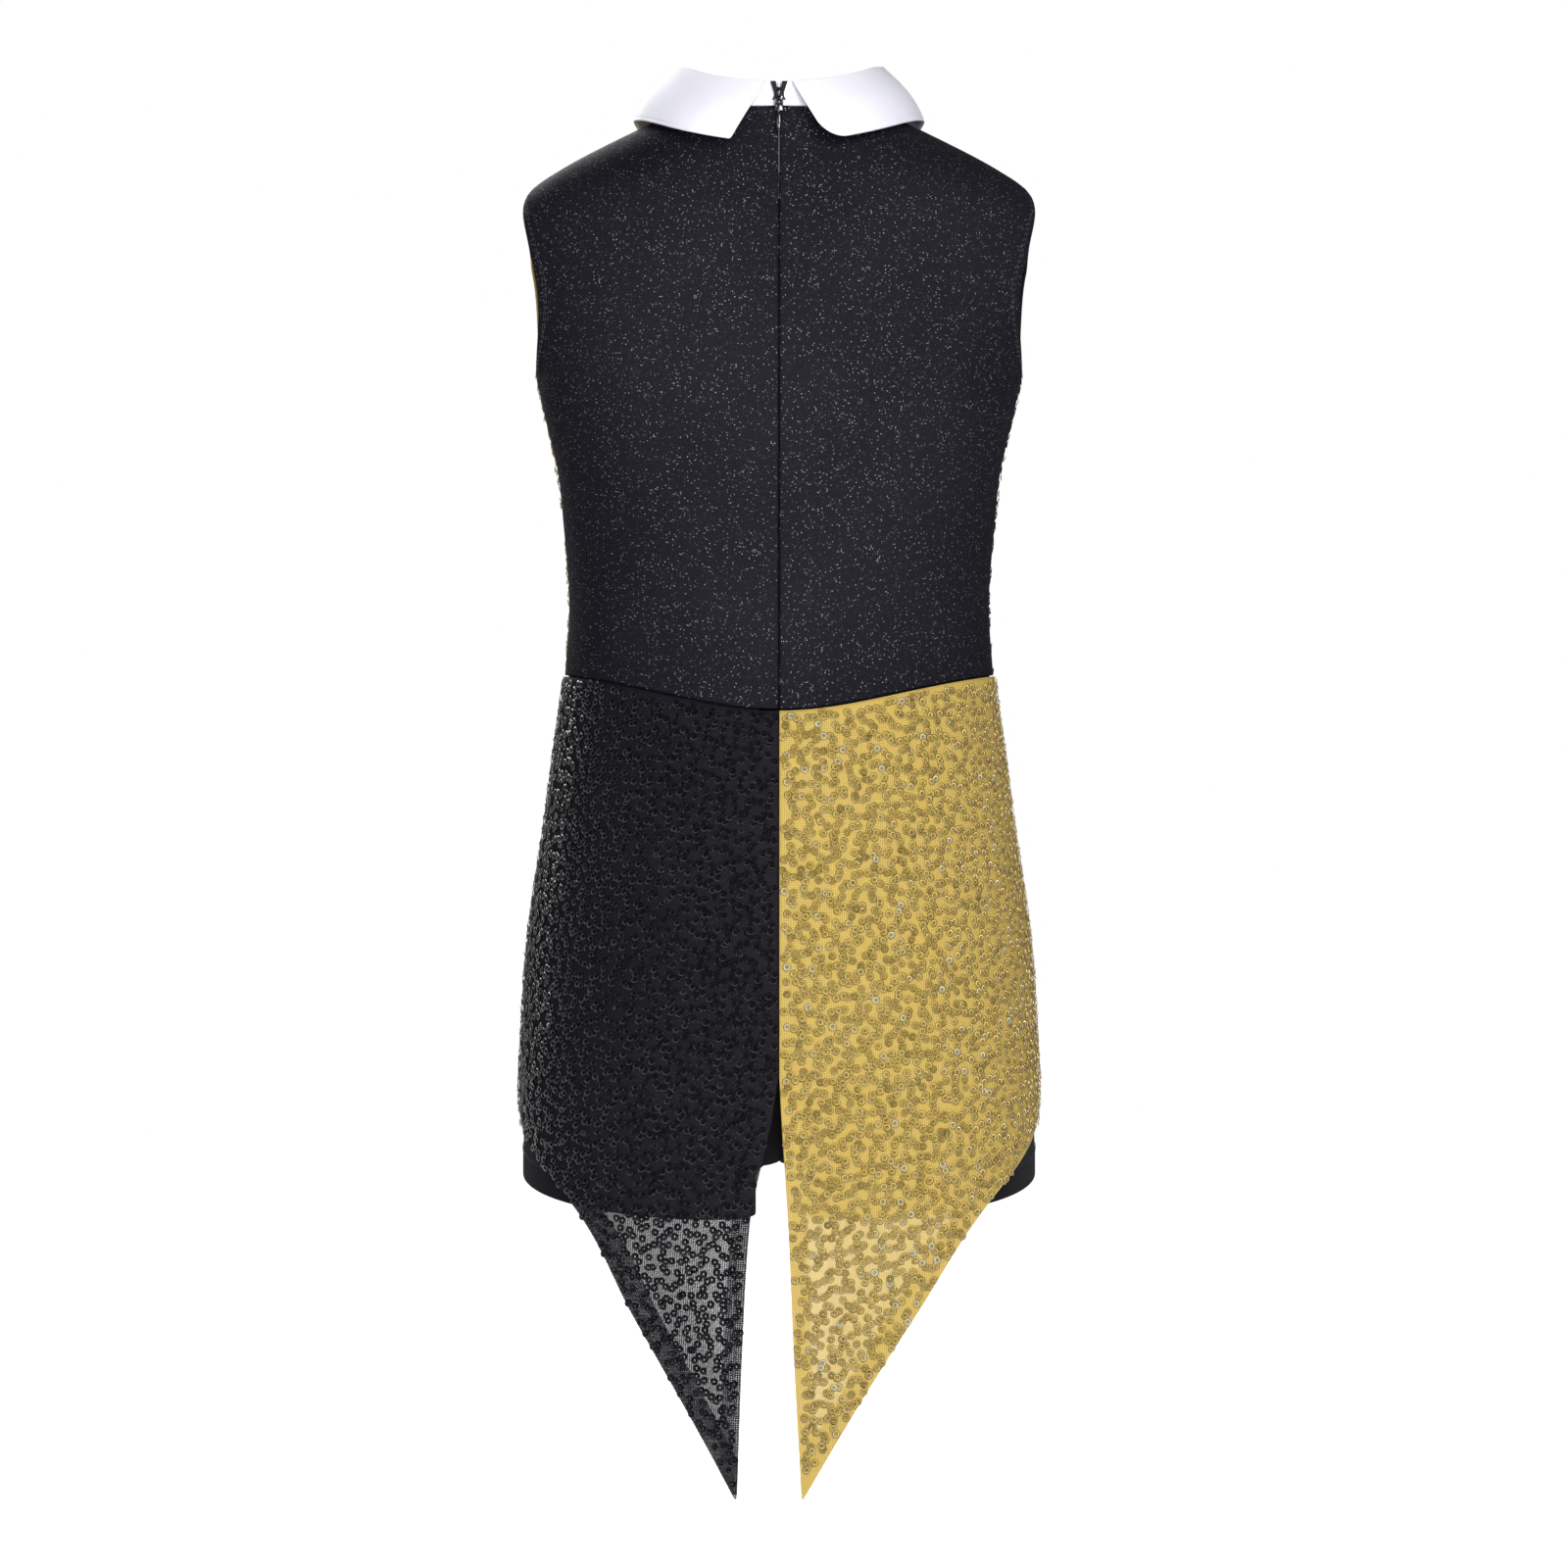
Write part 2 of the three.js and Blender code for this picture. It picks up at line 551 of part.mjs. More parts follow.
// In this frame z runs up the zip, y outwards, and y = 0 is the outer face of the back panels.
const zipLean = Math.atan(zipSlope);
const zipBottom = waistCentre / Math.cos(zipLean) + ZIP_END_MARGIN;
const coilFace = -(TAPE_INSET + TAPE_CLOTH + 0.3);
const coilInner = WEB / 2 + 0.25;
const sliderTop = ZIP_TOP - 3;
const sliderBottom = sliderTop - SLIDER_LENGTH;
const pivotHeight = sliderBottom + 4;
const pivotOut = 3.4;
const EYE = { bar: 0.5, hole: 0.9, outer: 1.6, halfWidth: 1.1 };

function zipTape() {
  return block([ZIP_SLIT / 2 + 0.1, -TAPE_INSET - TAPE_CLOTH, zipBottom - 2],
    [ZIP_SLIT / 2 + TAPE_WIDTH, -TAPE_INSET, ZIP_TOP]);
}

function zipCoil() {
  return block([coilInner, coilFace - COIL_DEPTH, zipBottom + 2.4],
    [coilInner + COIL_WIDTH, coilFace, ZIP_TOP - 2.4]);
}

function topStop() {
  return block([coilInner, coilFace - COIL_DEPTH, ZIP_TOP - 2],
    [coilInner + COIL_WIDTH + 0.3, coilFace, ZIP_TOP - 0.2]);
}

function bottomStop() {
  const half = coilInner + COIL_WIDTH;
  return block([-half, coilFace - COIL_DEPTH, zipBottom], [half, coilFace, zipBottom + 2]);
}

function zipSlider() {
  const back = coilFace - COIL_DEPTH - 0.4;
  const half = SLIDER_WIDTH / 2;
  const plateFace = 0.6;
  const plateTop = plateFace + 0.8;
  const cheekIn = EYE.halfWidth + 0.4;
  const cheekOut = cheekIn + 0.7;
  const cheekReach = 2;
  const barrel = new THREE.CylinderGeometry(EYE.bar, EYE.bar, 2 * cheekOut - 0.2, 12)
    .rotateZ(RIGHT).translate(0, pivotOut, pivotHeight);
  let solid = toSolid(block([-half, back - SLIDER_WALL, sliderBottom], [half, back, sliderTop]));
  const parts = [
    block([-WEB / 2, back - 0.2, sliderBottom], [WEB / 2, plateFace + 0.2, sliderTop]),
    block([-cheekOut, plateFace, sliderBottom], [cheekOut, plateTop, sliderTop]),
    barrel,
  ];
  for (const side of [-1, 1]) {
    const wall = [half - SLIDER_WALL, half].map((value) => side * value).sort((p, q) => p - q);
    const cheek = [cheekIn, cheekOut].map((value) => side * value).sort((p, q) => p - q);
    parts.push(block([wall[0], back - 0.2, sliderBottom], [wall[1], coilFace - 0.1, sliderTop]));
    parts.push(block([cheek[0], plateTop - 0.2, pivotHeight - cheekReach],
      [cheek[1], pivotOut + 0.9, pivotHeight + cheekReach]));
  }
  for (const part of parts) solid = solid.add(toSolid(part));
  return toGeometry(solid);
}

// The pull hangs from the slider's bar: an eye, a neck and a teardrop.
function zipPull() {
  const thick = 1.3;
  const half = PULL_WIDTH / 2;
  const drop = new THREE.Shape();
  drop.moveTo(-0.8, 0);
  drop.lineTo(-0.8, -EYE.outer - 1.2);
  drop.bezierCurveTo(-half * 0.9, -PULL_LENGTH * 0.45, -half, -PULL_LENGTH * 0.6, -half, -PULL_LENGTH + half);
  drop.absarc(0, -PULL_LENGTH + half, half, STRAIGHT, 2 * STRAIGHT, false);
  drop.bezierCurveTo(half, -PULL_LENGTH * 0.6, half * 0.9, -PULL_LENGTH * 0.45, 0.8, -EYE.outer - 1.2);
  drop.lineTo(0.8, 0);
  drop.closePath();
  const blade = new THREE.ExtrudeGeometry(drop, { depth: thick, bevelEnabled: false, curveSegments: 8 })
    .rotateX(RIGHT).translate(0, thick / 2, 0);
  const rod = (radius, reach) => new THREE.CylinderGeometry(radius, radius, 2 * reach, 16).rotateZ(RIGHT);
  const eye = toSolid(rod(EYE.outer, EYE.halfWidth)).add(toSolid(blade));
  const hole = toSolid(rod(EYE.hole, EYE.halfWidth + 1));
  return toGeometry(eye.subtract(hole)).translate(0, pivotOut, pivotHeight);
}

// ---------------------------------------------------------------- materials and assembly

const finish = (color, roughness, metalness = 0) => ({ color, roughness, metalness });
const GLITTER_KNIT = finish(0x2a2931, 0.55);
const BLACK_KNIT = finish(0x1a1920, 0.7);
const WHITE_SATIN = finish(0xf2f1fd, 0.4);
const GOLD_SEQUIN = finish(0xbfa250, 0.3, 0.6);
const BLACK_SEQUIN = finish(0x1b1a22, 0.35, 0.3);
const ZIP_TAPE = finish(0x15151a, 0.85);
const ZIP_METAL = finish(0x0c0c10, 0.25, 0.6);

const uniform = new THREE.Group();
const zip = new THREE.Group();
zip.rotation.x = zipLean;
zip.position.set(0, NECK_BACK, 0);
uniform.add(zip);

function add(name, geometry, look, parent = uniform) {
  const mesh = new THREE.Mesh(geometry, new THREE.MeshStandardMaterial(look));
  mesh.name = name;
  parent.add(mesh);
  return mesh;
}

// The right-hand piece is the left-hand one seen in a mirror.
function mirrored(geometry) {
  const copy = geometry.clone();
  const position = copy.getAttribute('position');
  for (let i = 0; i < position.count; i += 1) position.setX(i, -position.getX(i));
  const index = copy.index ? [...copy.index.array] : [...Array(position.count).keys()];
  copy.setIndex(index.map((_, k) => index[k - (k % 3) + [0, 2, 1][k % 3]]));
  copy.computeVertexNormals();
  return copy;
}

function addPair(name, make, look, parent = uniform) {
  const sides = { left: (geometry) => geometry, right: mirrored };
  for (const [side, place] of Object.entries(sides)) {
    add(`${name}_${side}`, place(make(side)), typeof look === 'function' ? look(side) : look, parent);
  }
}

const sequins = { left: BLACK_SEQUIN, right: GOLD_SEQUIN };
const frontSequins = { left: GOLD_SEQUIN, right: BLACK_SEQUIN };

addPair('back_bodice', () => cloth(bodicePanel(0), 12, 20, CLOTH), GLITTER_KNIT);
addPair('front_bodice', () => cloth(bodicePanel(STRAIGHT), 12, 20, CLOTH), (side) => frontSequins[side]);
addPair('shorts_back', () => cloth(shortsPanel(0), 16, 14, CLOTH), BLACK_KNIT);
addPair('shorts_front', () => cloth(shortsPanel(RIGHT), 16, 14, CLOTH), BLACK_KNIT);
addPair('leg_hem', () => cloth(legHem, 24, 1, FACING_CLOTH, -(CLOTH + LINING_GAP)), BLACK_KNIT);
addPair('overskirt', (side) => cloth(skirtPanel(side), 26, 12, CLOTH), (side) => sequins[side]);
addPair('tail', (side) => cloth(tailPanel(side), 6, 8, CLOTH), (side) => sequins[side]);
add('collar_stand', cloth(collarStand, 48, 2, STAND_CLOTH), WHITE_SATIN);
addPair('collar_leaf', () => cloth(collarLeafPanel, 18, 3, LEAF_CLOTH), WHITE_SATIN);
addPair('collar_point', () => cloth(collarPointPanel, 6, 3, LEAF_CLOTH), WHITE_SATIN);
addPair('armhole_facing', armholeFacing, BLACK_KNIT);
add('waist_tape', cloth(waistTape, 40, 1, FACING_CLOTH, -(CLOTH + LINING_GAP)), BLACK_KNIT);
addPair('shoulder_tape', () => cloth(shoulderTape, 2, 6, FACING_CLOTH, -(CLOTH + LINING_GAP)), BLACK_KNIT);
addPair('zip_tape', zipTape, ZIP_TAPE, zip);
addPair('zip_coil', zipCoil, ZIP_TAPE, zip);
addPair('zip_top_stop', topStop, ZIP_METAL, zip);
add('zip_bottom_stop', bottomStop(), ZIP_METAL, zip);
add('zip_slider', zipSlider(), ZIP_METAL, zip);
add('zip_pull', zipPull(), ZIP_METAL, zip);

export default uniform;
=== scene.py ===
# %% [markdown]
# # A child's cheer uniform, seen from behind
# The garment is a sleeveless one-piece: a glitter-knit back, sequin front panels, black shorts, a
# white fold-over collar, a concealed zip and a sequin overskirt cut away to two hanging tails.
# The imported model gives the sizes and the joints. Everything that shows is made again here at
# cloth scale, and each piece takes the place of its plain solid.
# Lengths are in metres, +Z is up, the front faces -Y and the wearer's left is +X.

# %% Load the frame
import math

import bmesh
import bpy
import numpy as np
from mathutils import Matrix, Vector


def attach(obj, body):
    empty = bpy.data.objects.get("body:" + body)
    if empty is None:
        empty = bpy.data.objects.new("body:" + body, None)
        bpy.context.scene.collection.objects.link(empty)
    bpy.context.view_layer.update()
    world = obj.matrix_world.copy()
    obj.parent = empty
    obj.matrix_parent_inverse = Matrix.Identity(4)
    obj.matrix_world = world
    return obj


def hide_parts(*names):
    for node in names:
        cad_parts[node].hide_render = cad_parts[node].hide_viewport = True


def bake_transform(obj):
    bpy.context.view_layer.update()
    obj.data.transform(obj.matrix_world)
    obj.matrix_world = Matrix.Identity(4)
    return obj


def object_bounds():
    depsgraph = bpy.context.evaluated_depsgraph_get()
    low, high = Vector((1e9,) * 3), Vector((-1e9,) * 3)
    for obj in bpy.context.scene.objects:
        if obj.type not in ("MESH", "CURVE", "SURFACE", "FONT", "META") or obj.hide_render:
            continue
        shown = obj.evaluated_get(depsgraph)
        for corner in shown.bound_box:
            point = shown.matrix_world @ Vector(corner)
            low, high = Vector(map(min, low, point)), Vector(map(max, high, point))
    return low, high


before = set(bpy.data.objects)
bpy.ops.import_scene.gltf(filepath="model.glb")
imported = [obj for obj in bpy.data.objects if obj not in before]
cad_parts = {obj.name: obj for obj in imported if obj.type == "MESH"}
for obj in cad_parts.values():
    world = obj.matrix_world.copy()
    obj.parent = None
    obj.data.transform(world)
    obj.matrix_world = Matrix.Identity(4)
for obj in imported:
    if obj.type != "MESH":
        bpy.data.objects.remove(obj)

cad_low, cad_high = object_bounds()
print("frame:", [round(v, 4) for v in cad_low], [round(v, 4) for v in cad_high])

# %% [markdown]
# ## Camera, floor and light
# A garment this size is looked at from about two and a half metres with a long lens, so the sides
# stay parallel. It could be lit by one lamp, but sequins and satin only read well when large soft
# panels give them something broad to reflect, so four area lights and a pale room are used.

# %% Camera
VIEW_DISTANCE = 2.5
VIEW_HEIGHT = -0.341
VIEW_WIDTH = 0.8
SENSOR = 36.0
camera_data = bpy.data.cameras.new("camera")
camera_data.sensor_width = SENSOR
camera_data.lens = SENSOR * VIEW_DISTANCE / VIEW_WIDTH
camera = bpy.data.objects.new("camera", camera_data)
camera.location = (-0.0025, VIEW_DISTANCE, VIEW_HEIGHT)
camera.rotation_euler = (math.pi / 2, 0, math.pi)
bpy.context.scene.collection.objects.link(camera)
bpy.context.scene.camera = camera
print("lens:", round(camera_data.lens, 1), "mm")

# %% Floor and backdrop
FLOOR_DROP = 0.12
FLOOR_HALF_WIDTH = 4.0
FLOOR_GLOW = 0.92


def flat_material(name, color, roughness, glow):
    """A plain finish whose glow only the camera sees, so that it lights nothing."""
    material = bpy.data.materials.new(name)
    material.use_nodes = True
    shader = material.node_tree.nodes["Principled BSDF"]
    shader.inputs["Base Color"].default_value = (*color, 1)
    shader.inputs["Roughness"].default_value = roughness
    shader.inputs["Emission Color"].default_value = (1, 1, 1, 1)
    seen = material.node_tree.nodes.new("ShaderNodeLightPath")
    shown = material.node_tree.nodes.new("ShaderNodeMath")
    shown.operation = "MULTIPLY"
    shown.inputs[1].default_value = glow
    material.node_tree.links.new(seen.outputs["Is Camera Ray"], shown.inputs[0])
    material.node_tree.links.new(shown.outputs[0], shader.inputs["Emission Strength"])
    return material


def studio_floor():
    """One wide pale plane under the garment."""
    bm = bmesh.new()
    bmesh.ops.create_grid(bm, x_segments=1, y_segments=1, size=FLOOR_HALF_WIDTH)
    bmesh.ops.translate(bm, verts=bm.verts, vec=(0, 0, cad_low.z - FLOOR_DROP))
    mesh = bpy.data.meshes.new("studio_floor")
    bm.to_mesh(mesh)
    bm.free()
    mesh.materials.append(flat_material("pale_floor", (0.9, 0.9, 0.91), 0.9, FLOOR_GLOW))
    floor = bpy.data.objects.new("studio_floor", mesh)
    bpy.context.scene.collection.objects.link(floor)


studio_floor()

# %% Light
ROOM_GLOW = 0.14
bpy.context.scene.view_settings.view_transform = "Standard"
world = bpy.data.worlds.new("pale_room")
bpy.context.scene.world = world
world.use_nodes = True
room = world.node_tree.nodes["Background"]
room.inputs["Color"].default_value = (1.0, 1.0, 1.0, 1)
seen = world.node_tree.nodes.new("ShaderNodeLightPath")
strength = world.node_tree.nodes.new("ShaderNodeMapRange")
strength.inputs["To Min"].default_value = ROOM_GLOW
world.node_tree.links.new(seen.outputs["Is Camera Ray"], strength.inputs["Value"])
world.node_tree.links.new(strength.outputs["Result"], room.inputs["Strength"])


def area_light(name, place, size, power, aim=(0, 0, -0.34)):
    """A square soft light that faces a point on the garment."""
    data = bpy.data.lights.new(name, "AREA")
    data.shape = "SQUARE"
    data.size = size
    data.energy = power
    light = bpy.data.objects.new(name, data)
    light.location = place
    light.rotation_euler = (Vector(aim) - Vector(place)).to_track_quat("-Z", "Y").to_euler()
    bpy.context.scene.collection.objects.link(light)


area_light("key_light", (-0.75, 2.3, 0.75), 0.9, 39)
area_light("fill_light", (1.5, 2.0, 0.2), 1.2, 11)
area_light("front_light", (0.8, -1.9, 0.8), 1.4, 28)
area_light("spark_light", (-0.28, 2.6, -0.1), 0.60, 27)

# %% [markdown]
# ## The shape that the cloth follows
# A stretch garment takes the shape of the body inside it. It could be sculpted, but then the
# panels, the seams and the sequins would each have to be fitted by eye. Here the shape is a
# formula: level ovals whose width and depth change smoothly with height, and which round over the
# shoulders to the neck. Every layer is worked out from the same formula, so the layers fit.

# %% Garment sizes
SIDE_WAIST_DROP = 0.286
WAIST_DIP = 0.0185
YOKE_DROP = 0.075
SHOULDER_DROP = 0.040
SEAT_DROP = 0.430
CROTCH_DROP = 0.533
HEM_DROP = 0.538
HEM_DIP = 0.022
TAIL_DROP = 0.692
TAIL_BEND_DROP = 0.545
NECK_HALF_WIDTH = 0.055
NECK_BACK = 0.060
NECK_FRONT = 0.050
NECK_DIP = 0.003
NECK_FRONT_DROP = 0.035
SHOULDER_HALF_WIDTH = 0.1365
SHOULDER_FRONT = 0.064
UNDERARM_HALF_WIDTH = 0.122
MIDRIFF_HALF_WIDTH = 0.1072
HIP_HALF_WIDTH = 0.1305
CHEST_FRONT = 0.084
MIDRIFF_FRONT = 0.072
HIP_FRONT = 0.083
LEG_SPREAD = 1.2
WAIST_BACK = 0.0745
SEAT_BACK = 0.093
ARMHOLE_TOP_DROP = 0.038
ARMHOLE_BOTTOM_DROP = 0.135
ARMHOLE_HALF_DEPTH = 0.038
CLOTH = 0.0012
SEAM_GAP = 0.0002
LINING_GAP = 0.0006
RIGHT = math.pi / 2
STRAIGHT = math.pi
WAIST_CENTRE = -(SIDE_WAIST_DROP + WAIST_DIP)
ARMHOLE_CENTRE = -(ARMHOLE_TOP_DROP + ARMHOLE_BOTTOM_DROP) / 2
ARMHOLE_HALF_HEIGHT = (ARMHOLE_BOTTOM_DROP - ARMHOLE_TOP_DROP) / 2
ZIP_SLOPE = (WAIST_BACK - NECK_BACK) / -WAIST_CENTRE
print("waist seam at the centre back:", round(WAIST_CENTRE, 4))


# %% Curves and solving
def mix(a, b, t):
    return a + (b - a) * t


def smooth(t):
    t = np.clip(t, 0, 1)
    return t * t * (3 - 2 * t)


def through(points):
    """A smooth curve through [place, value] points that never overshoots them."""
    x, y = np.array(sorted(points), float).T
    slope = np.diff(y) / np.diff(x)
    before, after = slope[:-1], slope[1:]
    product = np.where(before * after > 0, before * after, 0)
    inner = 2 * product / np.where(product > 0, before + after, 1)
    tangent = np.concatenate([slope[:1], inner, slope[-1:]])

    def curve(place):
        at = np.clip(place, x[0], x[-1])
        i = np.clip(np.searchsorted(x, at) - 1, 0, len(x) - 2)
        span = x[i + 1] - x[i]
        t = (at - x[i]) / span
        rise = tangent[i] * span * (t**3 - 2 * t**2 + t) + tangent[i + 1] * span * (t**3 - t**2)
        return y[i] + (y[i + 1] - y[i]) * (3 * t**2 - 2 * t**3) + rise

    return curve


def solve(rising, low, high, like):
    """Where a rising function reaches zero, for every element at once."""
    low, high = np.full_like(like, low), np.full_like(like, high)
    for _ in range(34):
        middle = (low + high) / 2
        over = rising(middle) > 0
        high = np.where(over, middle, high)
        low = np.where(over, low, middle)
    return (low + high) / 2


# %% Body ovals
RIBS = -mix(ARMHOLE_BOTTOM_DROP, SIDE_WAIST_DROP, 0.37)
MIDRIFF = -mix(ARMHOLE_BOTTOM_DROP, SIDE_WAIST_DROP, 0.77)
HIGH_HIP = -mix(SIDE_WAIST_DROP, SEAT_DROP, 0.45)
BELLY = -mix(SIDE_WAIST_DROP, SEAT_DROP, 0.69)
FULL_HIP = -mix(SEAT_DROP, CROTCH_DROP, 0.59)
SEAT_END = -CROTCH_DROP - 0.020
YOKE_HALF_WIDTH = SHOULDER_HALF_WIDTH - 0.0015
half_width = through([
    [-YOKE_DROP, YOKE_HALF_WIDTH],
    [-mix(YOKE_DROP, ARMHOLE_BOTTOM_DROP, 0.75), mix(UNDERARM_HALF_WIDTH, YOKE_HALF_WIDTH, 0.35)],
    [-ARMHOLE_BOTTOM_DROP - 0.006, UNDERARM_HALF_WIDTH],
    [RIBS, mix(UNDERARM_HALF_WIDTH, MIDRIFF_HALF_WIDTH, 0.69)], [MIDRIFF, MIDRIFF_HALF_WIDTH],
    [-SIDE_WAIST_DROP, mix(MIDRIFF_HALF_WIDTH, HIP_HALF_WIDTH, 0.08)],
    [HIGH_HIP, mix(MIDRIFF_HALF_WIDTH, HIP_HALF_WIDTH, 0.4)],
    [-SEAT_DROP, mix(MIDRIFF_HALF_WIDTH, HIP_HALF_WIDTH, 0.86)], [FULL_HIP, HIP_HALF_WIDTH],
])
seat_depth = through([
    [WAIST_CENTRE, WAIST_BACK],
    [mix(WAIST_CENTRE, -SEAT_DROP, 0.48), mix(WAIST_BACK, SEAT_BACK, 0.66)],
    [-SEAT_DROP, SEAT_BACK], [FULL_HIP, 0.935 * SEAT_BACK], [SEAT_END, 0.82 * SEAT_BACK],
])
front_depth = through([
    [-YOKE_DROP, CHEST_FRONT - 0.012], [-ARMHOLE_BOTTOM_DROP, CHEST_FRONT], [MIDRIFF, MIDRIFF_FRONT],
    [WAIST_CENTRE, mix(MIDRIFF_FRONT, HIP_FRONT, 0.36)], [BELLY, HIP_FRONT],
    [-SEAT_DROP, HIP_FRONT - 0.001], [SEAT_END, HIP_FRONT - 0.008],
])
squareness = through([
    [-YOKE_DROP, 3], [-ARMHOLE_BOTTOM_DROP, 2.7], [mix(RIBS, MIDRIFF, 0.5), 2], [-TAIL_DROP, 2],
])


def zip_line(z):
    return NECK_BACK - ZIP_SLOPE * z


def back_depth(z):
    return np.where(z > WAIST_CENTRE, zip_line(z), seat_depth(z))


def oval(angle, wide, back, front, power, z):
    """Points of level ovals: angle 0 is the centre back, a right angle is the side."""
    s, c = np.sin(angle), np.cos(angle)
    deep = np.where(c > 0, back, front)
    reach = (np.abs(s / wide) ** power + np.abs(c / deep) ** power) ** (-1 / power)
    return np.stack(np.broadcast_arrays(reach * s, reach * c, z), -1)


def body(angle, z):
    return oval(angle, half_width(z), back_depth(z), front_depth(z), squareness(z), z)


def outward(point):
    """Level directions away from the upright axis, one unit long."""
    out = point * np.array([1, 1, 0])
    return out / np.linalg.norm(out, axis=-1, keepdims=True)


def waist_height(angle):
    return WAIST_CENTRE + WAIST_DIP * np.sin(angle) ** 2


def neck_point(angle):
    dip = np.where(np.cos(angle) > 0, NECK_DIP, NECK_FRONT_DROP)
    z = -dip * np.cos(angle) ** 2
    return oval(angle, NECK_HALF_WIDTH, zip_line(-NECK_DIP), NECK_FRONT, 2, z)


YOKE_SHARE = 0.7
SHOULDER_ROUNDNESS = 0.95


def bodice_form(angle, t):
    """The bodice from the waist seam (t 0) over the shoulder to the neck seam (t 1)."""
    angle, t = np.broadcast_arrays(np.asarray(angle, float), np.asarray(t, float))
    low_part = body(angle, mix(waist_height(angle), -YOKE_DROP, np.minimum(t / YOKE_SHARE, 1)))
    low, high = body(angle, np.full_like(angle, -YOKE_DROP)), neck_point(angle)
    corner = oval(angle, SHOULDER_HALF_WIDTH, zip_line(-SHOULDER_DROP), SHOULDER_FRONT, 3,
                  -SHOULDER_DROP)
    low_arm, high_arm = mix(low, corner, SHOULDER_ROUNDNESS), mix(high, corner, SHOULDER_ROUNDNESS)
    s = np.clip((t - YOKE_SHARE) / (1 - YOKE_SHARE), 0, 1)[..., None]
    near_low = (1 - s)**3 * low + 3 * (1 - s)**2 * s * low_arm
    cap = near_low + 3 * (1 - s) * s**2 * high_arm + s**3 * high
    return np.where((t > YOKE_SHARE)[..., None], cap, low_part)


def armhole_clearance(point):
    y = point[..., 1] / ARMHOLE_HALF_DEPTH
    z = (point[..., 2] - ARMHOLE_CENTRE) / ARMHOLE_HALF_HEIGHT
    return y * y + z * z - 1


def row_end(t, start):
    """The angle where a bodice row ends: at the armhole, or at the side or shoulder seam."""
    found = solve(lambda share: -armhole_clearance(bodice_form(mix(start, RIGHT, share), t)),
                  0, 1, t)
    whole = armhole_clearance(bodice_form(RIGHT, t)) >= 0
    return np.where(whole, RIGHT, mix(start, RIGHT, found))


def side_share(drop, low, high):
    """How far up the side seam the bodice is this far below the neck."""
    return solve(lambda t: bodice_form(RIGHT, t)[..., 2] + drop, low, high, np.zeros(1))[0]


UNDERARM = side_share(ARMHOLE_BOTTOM_DROP, 0, YOKE_SHARE)
SHOULDER_TIP = side_share(ARMHOLE_TOP_DROP, YOKE_SHARE, 1)
print("underarm at", round(float(UNDERARM), 3), "shoulder tip at", round(float(SHOULDER_TIP), 3))

# %% [markdown]
# ## Cloth pieces
# A panel is a flat grid of cloth that is laid on the shape. The grid operator makes the cloth, a
# function says where each of its points lies, and Solidify gives the layer its thickness inwards,
# as the outer face is the one that is fitted. Rows sit closer together near the edges, where a
# real panel is turned under and stitched. The lengths along the cloth are kept as its UV map.


# %% Grid of cloth
def edge_spacing(t, strength):
    """Moves even shares towards both ends, so that edges get closer rows."""
    return mix(t, (1 - np.cos(STRAIGHT * t)) / 2, strength)


def finish_mesh(bm, name, material, sharp=math.radians(50)):
    """Turns a bmesh into a smooth-shaded object with its material."""
    mesh = bpy.data.meshes.new(name)
    bm.to_mesh(mesh)
    bm.free()
    for polygon in mesh.polygons:
        polygon.use_smooth = True
    mesh.set_sharp_from_angle(angle=sharp)
    mesh.materials.append(material)
    piece = bpy.data.objects.new(name, mesh)
    bpy.context.scene.collection.objects.link(piece)
    return piece


def cloth_piece(name, surface, across, down, material, thickness=CLOTH, edges=(0.6, 0.6),
                centre=(0, 0)):
    """A grid of cloth on surface(a, b), with outward faces, a UV map in metres and a thickness."""
    bm = bmesh.new()
    bmesh.ops.create_grid(bm, x_segments=across, y_segments=down, size=0.5)
    bm.verts.ensure_lookup_table()
    plan = np.array([v.co[:2] for v in bm.verts]) + 0.5
    a, b = edge_spacing(plan[:, 0], edges[0]), edge_spacing(plan[:, 1], edges[1])
    points = surface(a, b)
    column, row = np.rint(plan[:, 0] * across).astype(int), np.rint(plan[:, 1] * down).astype(int)
    table = np.zeros((down + 1, across + 1, 3))
    table[row, column] = points
    along = np.zeros((down + 1, across + 1))
    along[:, 1:] = np.cumsum(np.linalg.norm(np.diff(table, axis=1), axis=2), axis=1)
    below = np.zeros((down + 1, across + 1))
    below[1:] = np.cumsum(np.linalg.norm(np.diff(table, axis=0), axis=2), axis=0)
    shift_u, shift_v = len(name) * 0.37, sum(name.encode()) * 0.011
    uv = np.stack([along[row, column] + shift_u, below[row, column] + shift_v], 1)
    for vert, point in zip(bm.verts, points):
        vert.co = point
    bm.normal_update()
    outward = sum(f.normal.x * (f.calc_center_median().x - centre[0])
                  + f.normal.y * (f.calc_center_median().y - centre[1]) for f in bm.faces)
    if outward < 0:
        bmesh.ops.reverse_faces(bm, faces=bm.faces)
    layer = bm.loops.layers.uv.new("cloth")
    for face in bm.faces:
        for loop in face.loops:
            loop[layer].uv = uv[loop.vert.index]
    piece = finish_mesh(bm, name, material)
    if thickness:
        wall = piece.modifiers.new("thickness", "SOLIDIFY")
        wall.thickness = thickness
        wall.offset = -1
    piece["width"] = float(along[:, -1].max())
    piece["length"] = float(below[-1].max())
    piece["area"] = float(sum(p.area for p in piece.data.polygons))
    return piece


def sided(surface, side):
    """The same surface on the wearer's left, or mirrored to the right."""
    if side == "left":
        return surface
    return lambda a, b: surface(a, b) * np.array([-1, 1, 1])


SIDES = ("left", "right")


# %% [markdown]
# ## Finishes
# Each finish is procedural. Knit, net and satin follow the cloth's own UV map, so that they run
# with the cloth round the body, and so does the glitter, a scatter of tiny cells. Slow changes of
# tone are laid over them as a cloud that fills the space of the piece.


